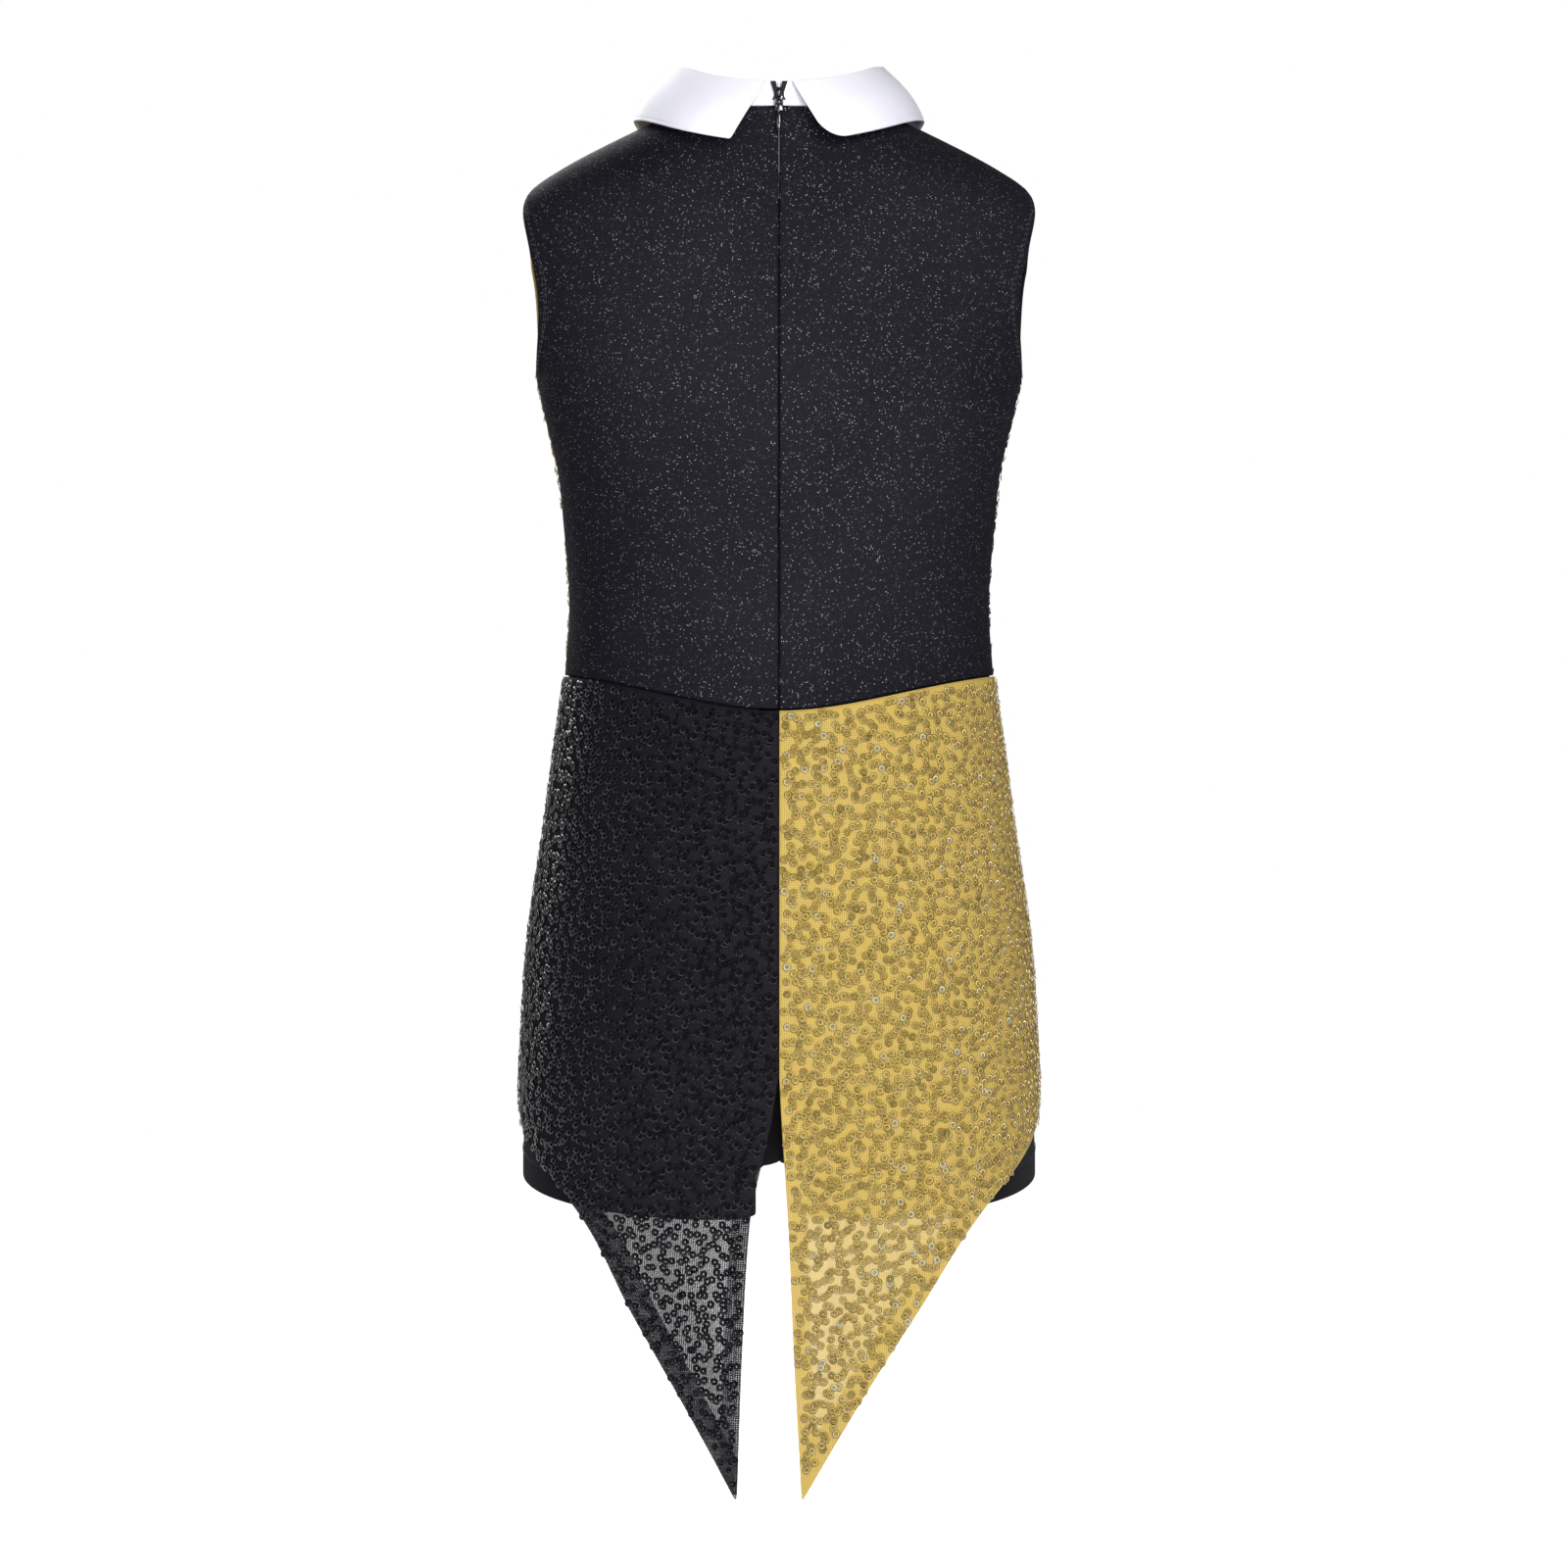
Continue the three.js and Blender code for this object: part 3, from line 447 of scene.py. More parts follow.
# %% Node helper
class Finish:
    """A material with short calls for adding and joining nodes."""

    def __init__(self, name, **constants):
        self.material = bpy.data.materials.new(name)
        self.material.use_nodes = True
        self.tree = self.material.node_tree
        self.shader = self.tree.nodes["Principled BSDF"]
        for socket, value in constants.items():
            self.shader.inputs[socket.replace("_", " ")].default_value = value

    def node(self, kind, settings=None, **inputs):
        node = self.tree.nodes.new("ShaderNode" + kind)
        for key, value in (settings or {}).items():
            setattr(node, key, value)
        for key, value in inputs.items():
            place = int(key[1:]) if key[1:].isdigit() else key.replace("_", " ")
            self.feed(node.inputs[place], value)
        return node

    def feed(self, socket, value):
        if isinstance(value, bpy.types.NodeSocket):
            self.tree.links.new(value, socket)
        else:
            socket.default_value = value

    def math(self, operation, first, second=0.5, third=0.5):
        node = self.node("Math", {"operation": operation}, _0=first, _1=second, _2=third)
        return node.outputs[0]

    def ramp(self, factor, stops, interpolation="LINEAR"):
        node = self.node("ValToRGB", None, Fac=factor)
        node.color_ramp.interpolation = interpolation
        elements = node.color_ramp.elements
        while len(elements) < len(stops):
            elements.new(0.5)
        for element, (place, color) in zip(elements, stops):
            element.position = place
            element.color = (*color, 1)
        return node.outputs[0]

    def blend(self, factor, first, second):
        node = self.node("Mix", {"data_type": "RGBA"}, Factor=factor)
        self.feed(node.inputs[6], first)
        self.feed(node.inputs[7], second)
        return node.outputs[2]

    def object_place(self):
        return self.node("TexCoord").outputs["Object"]

    def cloth_place(self):
        return self.node("UVMap", {"uv_map": "cloth"}).outputs[0]

    def bump(self, height, strength, distance):
        node = self.node("Bump", None, Strength=strength, Distance=distance, Height=height)
        self.feed(self.shader.inputs["Normal"], node.outputs[0])


# %% Knits
def knit_height(finish, wale):
    """Height of a fine stretch knit: slanted loops in upright columns, wale metres apart."""
    place = finish.node("SeparateXYZ", None, Vector=finish.cloth_place())
    u, v = place.outputs[0], place.outputs[1]
    column = finish.math("SINE", finish.math("MULTIPLY", u, 2 * STRAIGHT / wale))
    slant = finish.math("MULTIPLY_ADD", finish.math("ABSOLUTE", column), 0.8 * wale, v)
    course = finish.math("SINE", finish.math("MULTIPLY", slant, 2 * STRAIGHT / (wale * 1.15)))
    return finish.math("MULTIPLY_ADD", column, 0.6, finish.math("MULTIPLY", course, 0.4))


def glitter_knit():
    """Black stretch knit printed with dense, tiny silver flecks, a few painted bright as sparkle."""
    finish = Finish("glitter_knit", Roughness=0.6, Specular_IOR_Level=0.06)
    place = finish.object_place()
    cells = finish.node("TexVoronoi", {"voronoi_dimensions": "2D"}, Vector=finish.cloth_place(),
                        Scale=1100.0)
    chance = finish.node("SeparateColor", None, Color=cells.outputs["Color"])
    near = finish.math("LESS_THAN", cells.outputs["Distance"], 0.26)
    chosen = finish.math("GREATER_THAN", chance.outputs[0], 0.58)
    fleck = finish.math("MULTIPLY", near, chosen)
    # The silver print is real; how bright each fleck is, mostly dark and a few near white, is painted
    # sparkle.
    painted_fleck_sparkle = finish.math("POWER", chance.outputs[1], 7.0)
    cloud = finish.node("TexNoise", None, Vector=place, Scale=9.0, Detail=3.0)
    dark = finish.ramp(cloud.outputs["Fac"], [
        (0.3, (0.0060, 0.0055, 0.0094)), (0.7, (0.0112, 0.0106, 0.0152))])
    silver = finish.blend(painted_fleck_sparkle, (0.024, 0.024, 0.032, 1), (0.50, 0.50, 0.56, 1))
    finish.feed(finish.shader.inputs["Base Color"], finish.blend(fleck, dark, silver))
    finish.feed(finish.shader.inputs["Metallic"], finish.math("MULTIPLY", fleck, 0.7))
    height = finish.math("ADD", knit_height(finish, 0.0009), finish.math("MULTIPLY", fleck, 0.8))
    finish.bump(height, 0.35, 0.0002)
    return finish.material


def black_knit():
    """Matt black stretch knit, as on the shorts and the bindings."""
    finish = Finish("black_knit", Roughness=0.78, Specular_IOR_Level=0.1, Sheen_Weight=0.03)
    cloud = finish.node("TexNoise", None, Vector=finish.object_place(), Scale=14.0, Detail=4.0)
    tone = finish.ramp(cloud.outputs["Fac"], [
        (0.3, (0.0040, 0.0037, 0.0065)), (0.7, (0.0068, 0.0063, 0.0100))])
    finish.feed(finish.shader.inputs["Base Color"], tone)
    finish.bump(knit_height(finish, 0.0009), 0.5, 0.0002)
    return finish.material


# %% Satin
def white_satin():
    """White satin: fine warp floats, a soft sheen and faint shadows in the weave."""
    finish = Finish("white_satin", Roughness=0.42, Sheen_Weight=0.3, Sheen_Roughness=0.3)
    finish.shader.inputs["Sheen Tint"].default_value = (0.9, 0.9, 1.0, 1)
    place = finish.node("SeparateXYZ", None, Vector=finish.cloth_place())
    warp = finish.math("SINE", finish.math("MULTIPLY", place.outputs[0], 2 * STRAIGHT / 0.00045))
    weft = finish.math("SINE", finish.math("MULTIPLY", place.outputs[1], 2 * STRAIGHT / 0.0018))
    cloud = finish.node("TexNoise", None, Vector=finish.object_place(), Scale=30.0, Detail=3.0)
    tone = finish.ramp(cloud.outputs["Fac"], [
        (0.3, (0.85, 0.845, 0.94)), (0.7, (0.90, 0.895, 0.98))])
    finish.feed(finish.shader.inputs["Base Color"], tone)
    finish.bump(finish.math("MULTIPLY_ADD", weft, 0.3, warp), 0.18, 0.0001)
    return finish.material


# %% Net
def sequin_net(name, color, dark, cover_between):
    """Sheer stretch net: a honeycomb of fine threads with light showing through the holes."""
    finish = Finish(name, Roughness=0.7, Specular_IOR_Level=0.2)
    cells = finish.node("TexVoronoi", {"feature": "DISTANCE_TO_EDGE", "voronoi_dimensions": "2D"},
                        Vector=finish.cloth_place(), Scale=900.0, Randomness=0.35)
    thread = finish.math("LESS_THAN", cells.outputs["Distance"], 0.16)
    finish.feed(finish.shader.inputs["Base Color"], finish.blend(thread, (*color, 1), (*dark, 1)))
    cover = finish.math("MULTIPLY_ADD", thread, 1 - cover_between, cover_between)
    finish.feed(finish.shader.inputs["Alpha"], cover)
    return finish.material


# %% Sequins
def sequin_finish(name, stops, painted_edge_shade, gloss, index):
    """Pressed film under a gloss coat, a tone per sequin, a few painted glints and painted edge shade.
    """
    finish = Finish(name, Roughness=0.1, Metallic=0.1, Coat_Weight=gloss, Coat_Roughness=0.06,
                    Coat_IOR=index)
    tone = finish.node("Attribute", {"attribute_name": "tone"}).outputs["Fac"]
    reach = finish.node("Attribute", {"attribute_name": "reach"}).outputs["Fac"]
    # Darker at the hole and at the rim of each ring: painted shade, mixed in as the edge colour.
    from_middle = finish.math("ABSOLUTE", finish.math("SUBTRACT", reach, 0.64))
    cut = finish.ramp(from_middle, [(0.21, (0, 0, 0)), (0.28, (1, 1, 1))])
    color = finish.blend(cut, finish.ramp(tone, stops), (*painted_edge_shade, 1))
    finish.feed(finish.shader.inputs["Base Color"], color)
    crinkle = finish.node("TexNoise", None, Vector=finish.object_place(), Scale=900.0, Detail=1.0)
    finish.bump(crinkle.outputs["Fac"], 0.06, 0.0003)
    return finish.material


# %% Zip finishes and thread
def woven_tape():
    finish = Finish("woven_tape", Roughness=0.85)
    place = finish.node("SeparateXYZ", None, Vector=finish.object_place())
    wave = finish.math("SINE", finish.math("MULTIPLY", place.outputs[2], 2 * STRAIGHT / 0.0007))
    cross = finish.math("SINE", finish.math("MULTIPLY", place.outputs[0], 2 * STRAIGHT / 0.0006))
    weave = finish.math("MULTIPLY", wave, cross)
    finish.feed(finish.shader.inputs["Base Color"],
                finish.ramp(weave, [(0.0, (0.006, 0.006, 0.008)), (1.0, (0.02, 0.02, 0.024))]))
    finish.bump(weave, 0.5, 0.0002)
    return finish.material


def small_part(name, low, high, roughness, scale=400.0):
    """Lacquer, nylon or thread: nearly one colour, with slight wear in tone and gloss."""
    finish = Finish(name, Metallic=0.0, Coat_Weight=0.5 if roughness < 0.4 else 0.0)
    wear = finish.node("TexNoise", None, Vector=finish.object_place(), Scale=scale, Detail=3.0)
    color = finish.ramp(wear.outputs["Fac"], [(0.3, low), (0.7, high)])
    finish.feed(finish.shader.inputs["Base Color"], color)
    finish.feed(finish.shader.inputs["Roughness"],
                finish.math("MULTIPLY_ADD", wear.outputs["Fac"], 0.15, roughness - 0.07))
    return finish.material


GLITTER = glitter_knit()
BLACK_KNIT = black_knit()
SATIN = white_satin()
NETS = {
    "gold": sequin_net("beige_net", (0.70, 0.505, 0.140), (0.57, 0.405, 0.095), 0.48),
    "black": sequin_net("black_net", (0.0115, 0.0095, 0.0145), (0.008, 0.0065, 0.010), 0.27),
}
# Each film: a tone ramp whose palest stop is the colour of painted glints, then the painted edge
# shade, coat weight and coat index.
SEQUINS = {
    "gold": sequin_finish("gold_sequin_film", [
        (0.0, (0.42, 0.30, 0.065)), (0.25, (0.72, 0.51, 0.120)), (0.5, (0.90, 0.65, 0.165)),
        (0.8, (0.96, 0.73, 0.22)), (1.0, (0.99, 0.92, 0.62)),
    ], (0.27, 0.195, 0.040), 1.0, 2.1),
    "black": sequin_finish("black_sequin_film", [
        (0.0, (0.007, 0.0065, 0.0100)), (0.6, (0.010, 0.0095, 0.0140)),
        (0.9, (0.015, 0.014, 0.020)), (1.0, (0.03, 0.028, 0.036)),
    ], (0.005, 0.0048, 0.0072), 0.4, 1.6),
}
TAPE = woven_tape()
NYLON = small_part("coil_nylon", (0.010, 0.010, 0.012), (0.02, 0.02, 0.022), 0.45)
LACQUER = small_part("black_lacquer", (0.004, 0.004, 0.005), (0.010, 0.010, 0.012), 0.13)
# Thread is lighter than the knit it sits on: partly its own colour, partly painted sheen, so the
# stitch rows show.
BLACK_THREAD = small_part("black_thread", (0.02, 0.02, 0.027), (0.055, 0.054, 0.066), 0.6, 2500.0)
print("finishes:", len(bpy.data.materials))

# %% [markdown]
# ## Stamping small parts
# Stitches, sequins and zip coils are one small shape repeated hundreds of times. Instances would be
# lighter to edit, but the finished garment has to be plain meshes, so one template is copied into
# one mesh at many places.


# %% Stamp
def stamp(name, template, places, material, tones_and_glints=None):
    """One mesh with a copy of the template bmesh at each 4 by 4 place."""
    verts = np.array([v.co[:] + (1.0,) for v in template.verts])
    template.verts.index_update()
    faces = [[v.index for v in f.verts] for f in template.faces]
    sizes = np.array([len(f) for f in faces])
    corners = np.concatenate(faces)
    template.free()
    places = np.asarray(places, float)
    copies = len(places)
    points = np.einsum("kij,vj->kvi", places, verts)[..., :3]
    offsets = np.arange(copies) * len(verts)
    mesh = bpy.data.meshes.new(name)
    mesh.vertices.add(copies * len(verts))
    mesh.vertices.foreach_set("co", points.astype(np.float32).ravel())
    mesh.loops.add(copies * len(corners))
    mesh.loops.foreach_set("vertex_index", (corners[None] + offsets[:, None]).astype(np.int32).ravel())
    mesh.polygons.add(copies * len(faces))
    starts = np.concatenate([[0], np.cumsum(sizes)[:-1]])
    loops = (starts[None] + (np.arange(copies) * len(corners))[:, None]).astype(np.int32)
    mesh.polygons.foreach_set("loop_start", loops.ravel())
    mesh.update(calc_edges=True)
    mesh.validate()
    if tones_and_glints is not None:
        attribute = mesh.attributes.new("tone", "FLOAT", "POINT")
        attribute.data.foreach_set("value", np.repeat(tones_and_glints, len(verts)).astype(np.float32))
        reach = np.hypot(verts[:, 0], verts[:, 1])
        attribute = mesh.attributes.new("reach", "FLOAT", "POINT")
        attribute.data.foreach_set("value", np.tile(reach / reach.max(), copies).astype(np.float32))
    mesh.materials.append(material)
    piece = bpy.data.objects.new(name, mesh)
    bpy.context.scene.collection.objects.link(piece)
    return piece


def placed(point, along, normal, size=(1, 1, 1)):
    """4 by 4 places with x along the line and z out of the cloth."""
    along = along / np.linalg.norm(along, axis=-1, keepdims=True)
    side = np.cross(normal, along)
    side /= np.linalg.norm(side, axis=-1, keepdims=True)
    up = np.cross(along, side)
    matrix = np.zeros((*point.shape[:-1], 4, 4))
    for k, (axis, scale) in enumerate(zip((along, side, up), size)):
        matrix[..., :3, k] = axis * scale
    matrix[..., :3, 3] = point
    matrix[..., 3, 3] = 1
    return matrix


# %% [markdown]
# ## Stitching
# Knit hems are closed with two parallel rows of thread. A texture would do from afar, but near the
# camera the rows catch light, so each stitch is a small lens of thread lying along the seam.


# %% Row of stitches
THREAD = 0.00022


def stitch_template():
    bm = bmesh.new()
    bmesh.ops.create_uvsphere(bm, u_segments=6, v_segments=4, radius=1.0)
    bmesh.ops.rotate(bm, verts=bm.verts, matrix=Matrix.Rotation(RIGHT, 3, "Y"))
    return bm


def stitch_row(name, line, material, stitch=0.0022, gap=0.0007, lift=0.0001, samples=900):
    """Stitches along line(share), which returns points and outward normals."""
    share = np.linspace(0, 1, samples)
    points, normals = line(share)
    reach = np.concatenate([[0], np.cumsum(np.linalg.norm(np.diff(points, axis=0), axis=1))])
    count = max(2, int(reach[-1] / (stitch + gap)))
    middle = np.interp((np.arange(count) + 0.5) / count * reach[-1], reach, share)
    step = 0.25 / samples
    centre, normal = line(middle)
    along = line(np.minimum(middle + step, 1))[0] - line(np.maximum(middle - step, 0))[0]
    centre = centre + normal * lift
    places = placed(centre, along, normal, (stitch / 2, THREAD, THREAD))
    return stamp(name, stitch_template(), places, material)


def outer_normal(surface, a, b, step):
    """Points of a cloth surface, and its normals turned away from the body."""
    points = surface(a, b)
    along_a = surface(np.minimum(a + step, 1), b) - surface(np.maximum(a - step, 0), b)
    along_b = surface(a, np.minimum(b + step, 1)) - surface(a, np.maximum(b - step, 0))
    normal = np.cross(along_a, along_b)
    normal /= np.linalg.norm(normal, axis=-1, keepdims=True) + 1e-12
    out = np.sign(normal[..., 0] * points[..., 0] + normal[..., 1] * points[..., 1])
    return points, normal * out[..., None]


def surface_line(surface, path):
    """A line on a cloth surface. path(share) gives a and b."""
    return lambda share: outer_normal(surface, *path(share), 1e-3)


# %% [markdown]
# ## Bodice
# Each back panel runs from the zip to the side and round the armhole. At the zip the edge rolls
# in over the coil, and puckers a little where stretch cloth is sewn to a tape that can't stretch.
# At the armhole the cloth is turned under and held by two rows of stitches, so the edge is a
# slightly raised band. Those are the real surface here, not a bump.

# %% Bodice panels
ARM_HEM = 0.007
ARM_HEM_RISE = 0.0005
ARM_HEM_REACH = 0.012
ARM_TURN = 0.0012
ARM_TURN_DEPTH = 0.0009
ROLL = 0.0016
ROLL_DEPTH = 0.0011
PUCKER = 0.00022
PUCKER_LENGTH = 0.0135
PUCKER_REACH = 0.006
DRAG = 0.0004


def bodice_row(b):
    low = mix(0, UNDERARM, np.clip(b / 0.4, 0, 1))
    middle = mix(UNDERARM, SHOULDER_TIP, (1 - np.cos(STRAIGHT * np.clip((b - 0.4) / 0.45, 0, 1))) / 2)
    top = mix(SHOULDER_TIP, 1, np.clip((b - 0.85) / 0.15, 0, 1))
    return np.where(b < 0.4, low, np.where(b > 0.85, top, middle))


def plain_bodice(centre, opening):
    """The fitted panel on the wearer's left, from the centre line to the armhole or side."""
    direction = 1 if centre == 0 else -1

    def surface(a, b):
        t = mix(0.002, 0.999, bodice_row(b))
        first = bodice_form(np.full_like(t, centre), t)
        start = centre + direction * np.arctan(opening / np.abs(first[..., 1]))
        end = row_end(t, start)
        return bodice_form(mix(start, end, a), t)

    return surface


def dressed_bodice(centre, opening, pucker):
    """The fitted panel with its armhole band, its rolled centre edge and its puckers."""
    plain = plain_bodice(centre, opening)

    def surface(a, b):
        point, normal = outer_normal(plain, a, b, 2e-3)
        start = plain(np.zeros_like(a), b)
        from_centre = np.linalg.norm(point - start, axis=-1)
        armhole = np.sqrt(np.maximum(armhole_clearance(point) + 1, 0)) - 1
        to_edge = armhole * ARMHOLE_HALF_DEPTH * 1.1
        at_arm = smooth(1.4 - np.abs(to_edge) / ARM_HEM)
        edge_turn = np.clip(1 - np.abs(to_edge) / ARM_TURN, 0, 1) ** 2
        rise = ARM_HEM_RISE * at_arm * (np.abs(to_edge) < ARM_HEM_REACH) - ARM_TURN_DEPTH * edge_turn
        rise = rise - ROLL_DEPTH * np.clip(1 - from_centre / ROLL, 0, 1) ** 2
        wave = np.sin(point[..., 2] * 2 * STRAIGHT / PUCKER_LENGTH + 3 * np.sin(point[..., 2] * 40))
        rise = rise + pucker * wave * np.exp(-from_centre / PUCKER_REACH)
        drag = np.sin(point[..., 2] * 95 + point[..., 0] * 60) * np.sin(point[..., 0] * 33)
        rise = rise + DRAG * drag * smooth((from_centre - 0.02) / 0.04)
        return point + normal * rise[..., None]

    return surface


def armhole_line(centre, inset):
    """A line inside the armhole edge of a panel, inset metres from it."""
    surface = plain_bodice(centre, STITCH_OPENING)

    def path(share):
        b = mix(0.405, 0.848, share)
        outermost = surface(np.ones_like(b), b) - surface(np.full_like(b, 0.9), b)
        return 1 - inset / (np.linalg.norm(outermost, axis=-1) / 0.1), b

    return surface_line(surface, path)


BACK_OPENING = 0.00004
STITCH_OPENING = 0.0006
ARM_STITCH_INSETS = (0.0056, 0.0070)


def make_bodice_back(side):
    surface = sided(dressed_bodice(0, BACK_OPENING, PUCKER), side)
    panel = cloth_piece(f"back_panel_{side}", surface, 84, 190, GLITTER)
    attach(panel, "garment")
    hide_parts(f"back_bodice_{side}")


for side in SIDES:
    make_bodice_back(side)


# %% Armhole stitching
def make_arm_stitches(side):
    for number, inset in enumerate(ARM_STITCH_INSETS):
        for place, centre in (("back", 0), ("front", STRAIGHT)):
            line = armhole_line(centre, inset)
            flip = np.array([1 if side == "left" else -1, 1, 1])
            row = stitch_row(f"arm_stitch_{place}_{number}_{side}",
                             lambda share: tuple(part * flip for part in line(share)),
                             BLACK_THREAD, lift=ARM_HEM_RISE + 0.0001, samples=300)
            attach(row, "garment")


for side in SIDES:
    make_arm_stitches(side)

# %% [markdown]
# ## Sequins
# Sequins are sewn on the net in one winding line that never crosses itself. The line is laid out
# on square tiles that each hold two quarter circles, turned at random: the quarters join into
# loops and meanders. Two ring sequins sit on each quarter, a little tilted, as thread holds them
# only at the centre. Each ring is a spun triangle: three faces round, nine steps, no open edges.

# %% Sequin template and layout
SEQUIN_RADIUS = 0.0020
SEQUIN_HOLE = 0.00062
TILE = 0.0085
SEQUIN_TILT = {"gold": 0.14, "black": 0.12}
DRIFT = 0.0036


def sequin_template():
    bm = bmesh.new()
    profile = [(SEQUIN_HOLE, 0.00010), (SEQUIN_RADIUS, 0.00018), (0.6 * SEQUIN_RADIUS, -0.00006)]
    corners = [bm.verts.new((r, 0, z)) for r, z in profile]
    for first, second in ((0, 1), (1, 2), (2, 0)):
        bm.edges.new((corners[first], corners[second]))
    bmesh.ops.spin(bm, geom=bm.verts[:] + bm.edges[:], cent=(0, 0, 0), axis=(0, 0, 1),
                   angle=2 * STRAIGHT, steps=9, use_merge=True)
    bmesh.ops.remove_doubles(bm, verts=bm.verts, dist=1e-6)
    bmesh.ops.recalc_face_normals(bm, faces=bm.faces)
    return bm


def winding_points(width, length, rng):
    """Places on flat net, in metres, along the winding line of sewing."""
    columns, rows = int(width / TILE) + 3, int(length / TILE) + 3
    found = []
    for turn in (STRAIGHT / 8, 3 * STRAIGHT / 8):
        c, s = 0.5 * math.cos(turn), 0.5 * math.sin(turn)
        found.append([(c, s), (1 - c, 1 - s), (1 - c, s), (c, 1 - s)])
    points = []
    for j in range(rows):
        for i in range(columns):
            kept = (0, 1) if rng.random() < 0.5 else (2, 3)
            for quarter in found:
                for k in kept:
                    points.append(((i + quarter[k][0]) * TILE, (j + quarter[k][1]) * TILE))
    return drifted(np.array(points) - TILE, rng)


def drifted(points, rng):
    """Lets the rows wander, as cloth does when it is fed by hand under the needle."""
    moved = points.copy()
    for _ in range(7):
        heading = rng.uniform(0, 2 * STRAIGHT)
        wave = np.array([math.cos(heading), math.sin(heading)])
        shift = np.array([-wave[1], wave[0]]) * rng.uniform(0.6, 1.2) * DRIFT
        length = rng.uniform(0.018, 0.045)
        phase = moved @ wave * 2 * STRAIGHT / length + rng.uniform(0, 6)
        moved = moved + np.sin(phase)[:, None] * shift * length / 0.045
    return moved + rng.normal(0, 0.00025, points.shape)


def sew_sequins(name, points, normals, along, color, rng, lift=0.0004):
    """Ring sequins at these points of the cloth."""
    count = len(points)
    tilt = rng.normal(0, SEQUIN_TILT[color], (count, 2))
    across = np.cross(normals, along)
    across /= np.linalg.norm(across, axis=1, keepdims=True)
    along = np.cross(across, normals)
    facing = normals + along * tilt[:, :1] + across * tilt[:, 1:]
    facing /= np.linalg.norm(facing, axis=1, keepdims=True)
    size = rng.uniform(0.94, 1.05, count)
    spot = points + normals * (lift + np.abs(tilt).sum(1)[:, None] * SEQUIN_RADIUS * 0.5)
    places = placed(spot, along, facing)
    places[:, :3, :3] *= size[:, None, None]
    # Tones differ at random; one sequin in twenty is pushed up to the pale end of the ramp as a
    # painted glint.
    tones_and_glints = np.clip(rng.beta(2.2, 2.6, count) + (rng.random(count) < 0.05) * 0.5, 0, 1)
    return stamp(name, sequin_template(), places, SEQUINS[color], tones_and_glints)


# %% [markdown]
# ## Overskirt and tails
# The overskirt is one cut of sequin net on each side. It is sewn into the waist seam, lies over the
# hips, and its edge runs from the front of the waist, past the side, to the tip of the tail. Cloth
# simulation could hang it, but the tails would drift from their joints, so the shape is fitted:
# round the hips it is an oval a little larger than the shorts, and below the seat it hangs plumb.

# %% Overskirt shape
SKIRT_LIFT = 0.0018
WAIST_LIFT = 0.0009
WRAP = math.radians(170)
LEFT_TAIL_OFFSET = 0.0206
RIGHT_TAIL_OFFSET = 0.011
CUT_HIP = mix(WAIST_CENTRE, -SEAT_DROP, 0.76)
CUT_SIDE = -mix(SEAT_DROP, TAIL_BEND_DROP, 0.56)
SLIT_TOP = -mix(SEAT_DROP, TAIL_BEND_DROP, 0.48)
SLIT_TURN = -mix(SEAT_DROP, TAIL_BEND_DROP, 0.65)
skirt_squareness = through([[-SEAT_DROP, 2], [FULL_HIP, 2.5]])


def tail_share(share):
    return -mix(TAIL_BEND_DROP, TAIL_DROP, share)


def outer_cut(low_points):
    """The angle in degrees that the outer edge reaches at each height."""
    return through([*low_points, [CUT_SIDE, 90], [CUT_HIP, mix(90, 170, 0.62)], [WAIST_CENTRE, 170]])


def inner_cut(tip, shares):
    """How far the inner edge stands off the centre back at each height."""
    return through([
        [-TAIL_DROP, tip], [tail_share(0.51), shares[0] * tip], [tail_share(0.1), shares[1] * tip],
        [SLIT_TURN, shares[2] * tip], [SLIT_TOP, 0],
    ])


SKIRTS = {
    "left": {
        "color": "black",
        "outer": outer_cut([[-TAIL_DROP, 13], [tail_share(0.4), 39.7], [tail_share(0.07), 53]]),
        "inner": inner_cut(LEFT_TAIL_OFFSET, (0.87, 0.7, 0.15)),
    },
    "right": {
        "color": "gold",
        "outer": outer_cut([[-TAIL_DROP, 7.3], [tail_share(0.4), 37.3], [tail_share(0.05), 54.7]]),
        "inner": inner_cut(RIGHT_TAIL_OFFSET, (0.64, 0.41, 0.09)),
    },
}


def skirt_lift(z):
    """The net is sewn flat at the waist and stands a little off the shorts below it."""
    return mix(WAIST_LIFT, SKIRT_LIFT, smooth((WAIST_CENTRE + WAIST_DIP - z) / 0.04))


def skirt_back(z):
    return np.where(z > -SEAT_DROP, back_depth(z), SEAT_BACK + 0.0008) + skirt_lift(z)


def skirt_at(angle, z):
    lift = skirt_lift(z)
    return oval(angle, half_width(z) + lift, skirt_back(z), front_depth(z) + lift,
                skirt_squareness(z), z)


def skirt_edges(side, z):
    """The first and last angle of the cut at each height."""
    inner = SKIRTS[side]["inner"](z) + SEAM_GAP
    return np.arctan(inner / skirt_back(z)), np.radians(SKIRTS[side]["outer"](z))


def skirt_surface(side):
    def surface(a, b):
        top = waist_height(a * WRAP) - SEAM_GAP
        z = mix(top, -TAIL_DROP, b)
        first, last = skirt_edges(side, z)
        point = skirt_at(mix(first, last, a), z)
        return point + ripple(point, z)

    return surface


def ripple(point, z):
    """Soft folds that open towards the hem of the hanging cloth."""
    amount = 0.0016 * smooth((-z - SEAT_DROP) / 0.12)
    wave = np.sin(point[..., 0] * 62 + point[..., 2] * 9) * amount
    behind = smooth((point[..., 1] - 0.03) / 0.04)
    return np.stack([0 * wave, wave - amount, 0 * wave], -1) * behind[..., None]


def across_the_bend(piece):
    """Bakes the placement of the piece into its mesh."""
    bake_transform(piece)


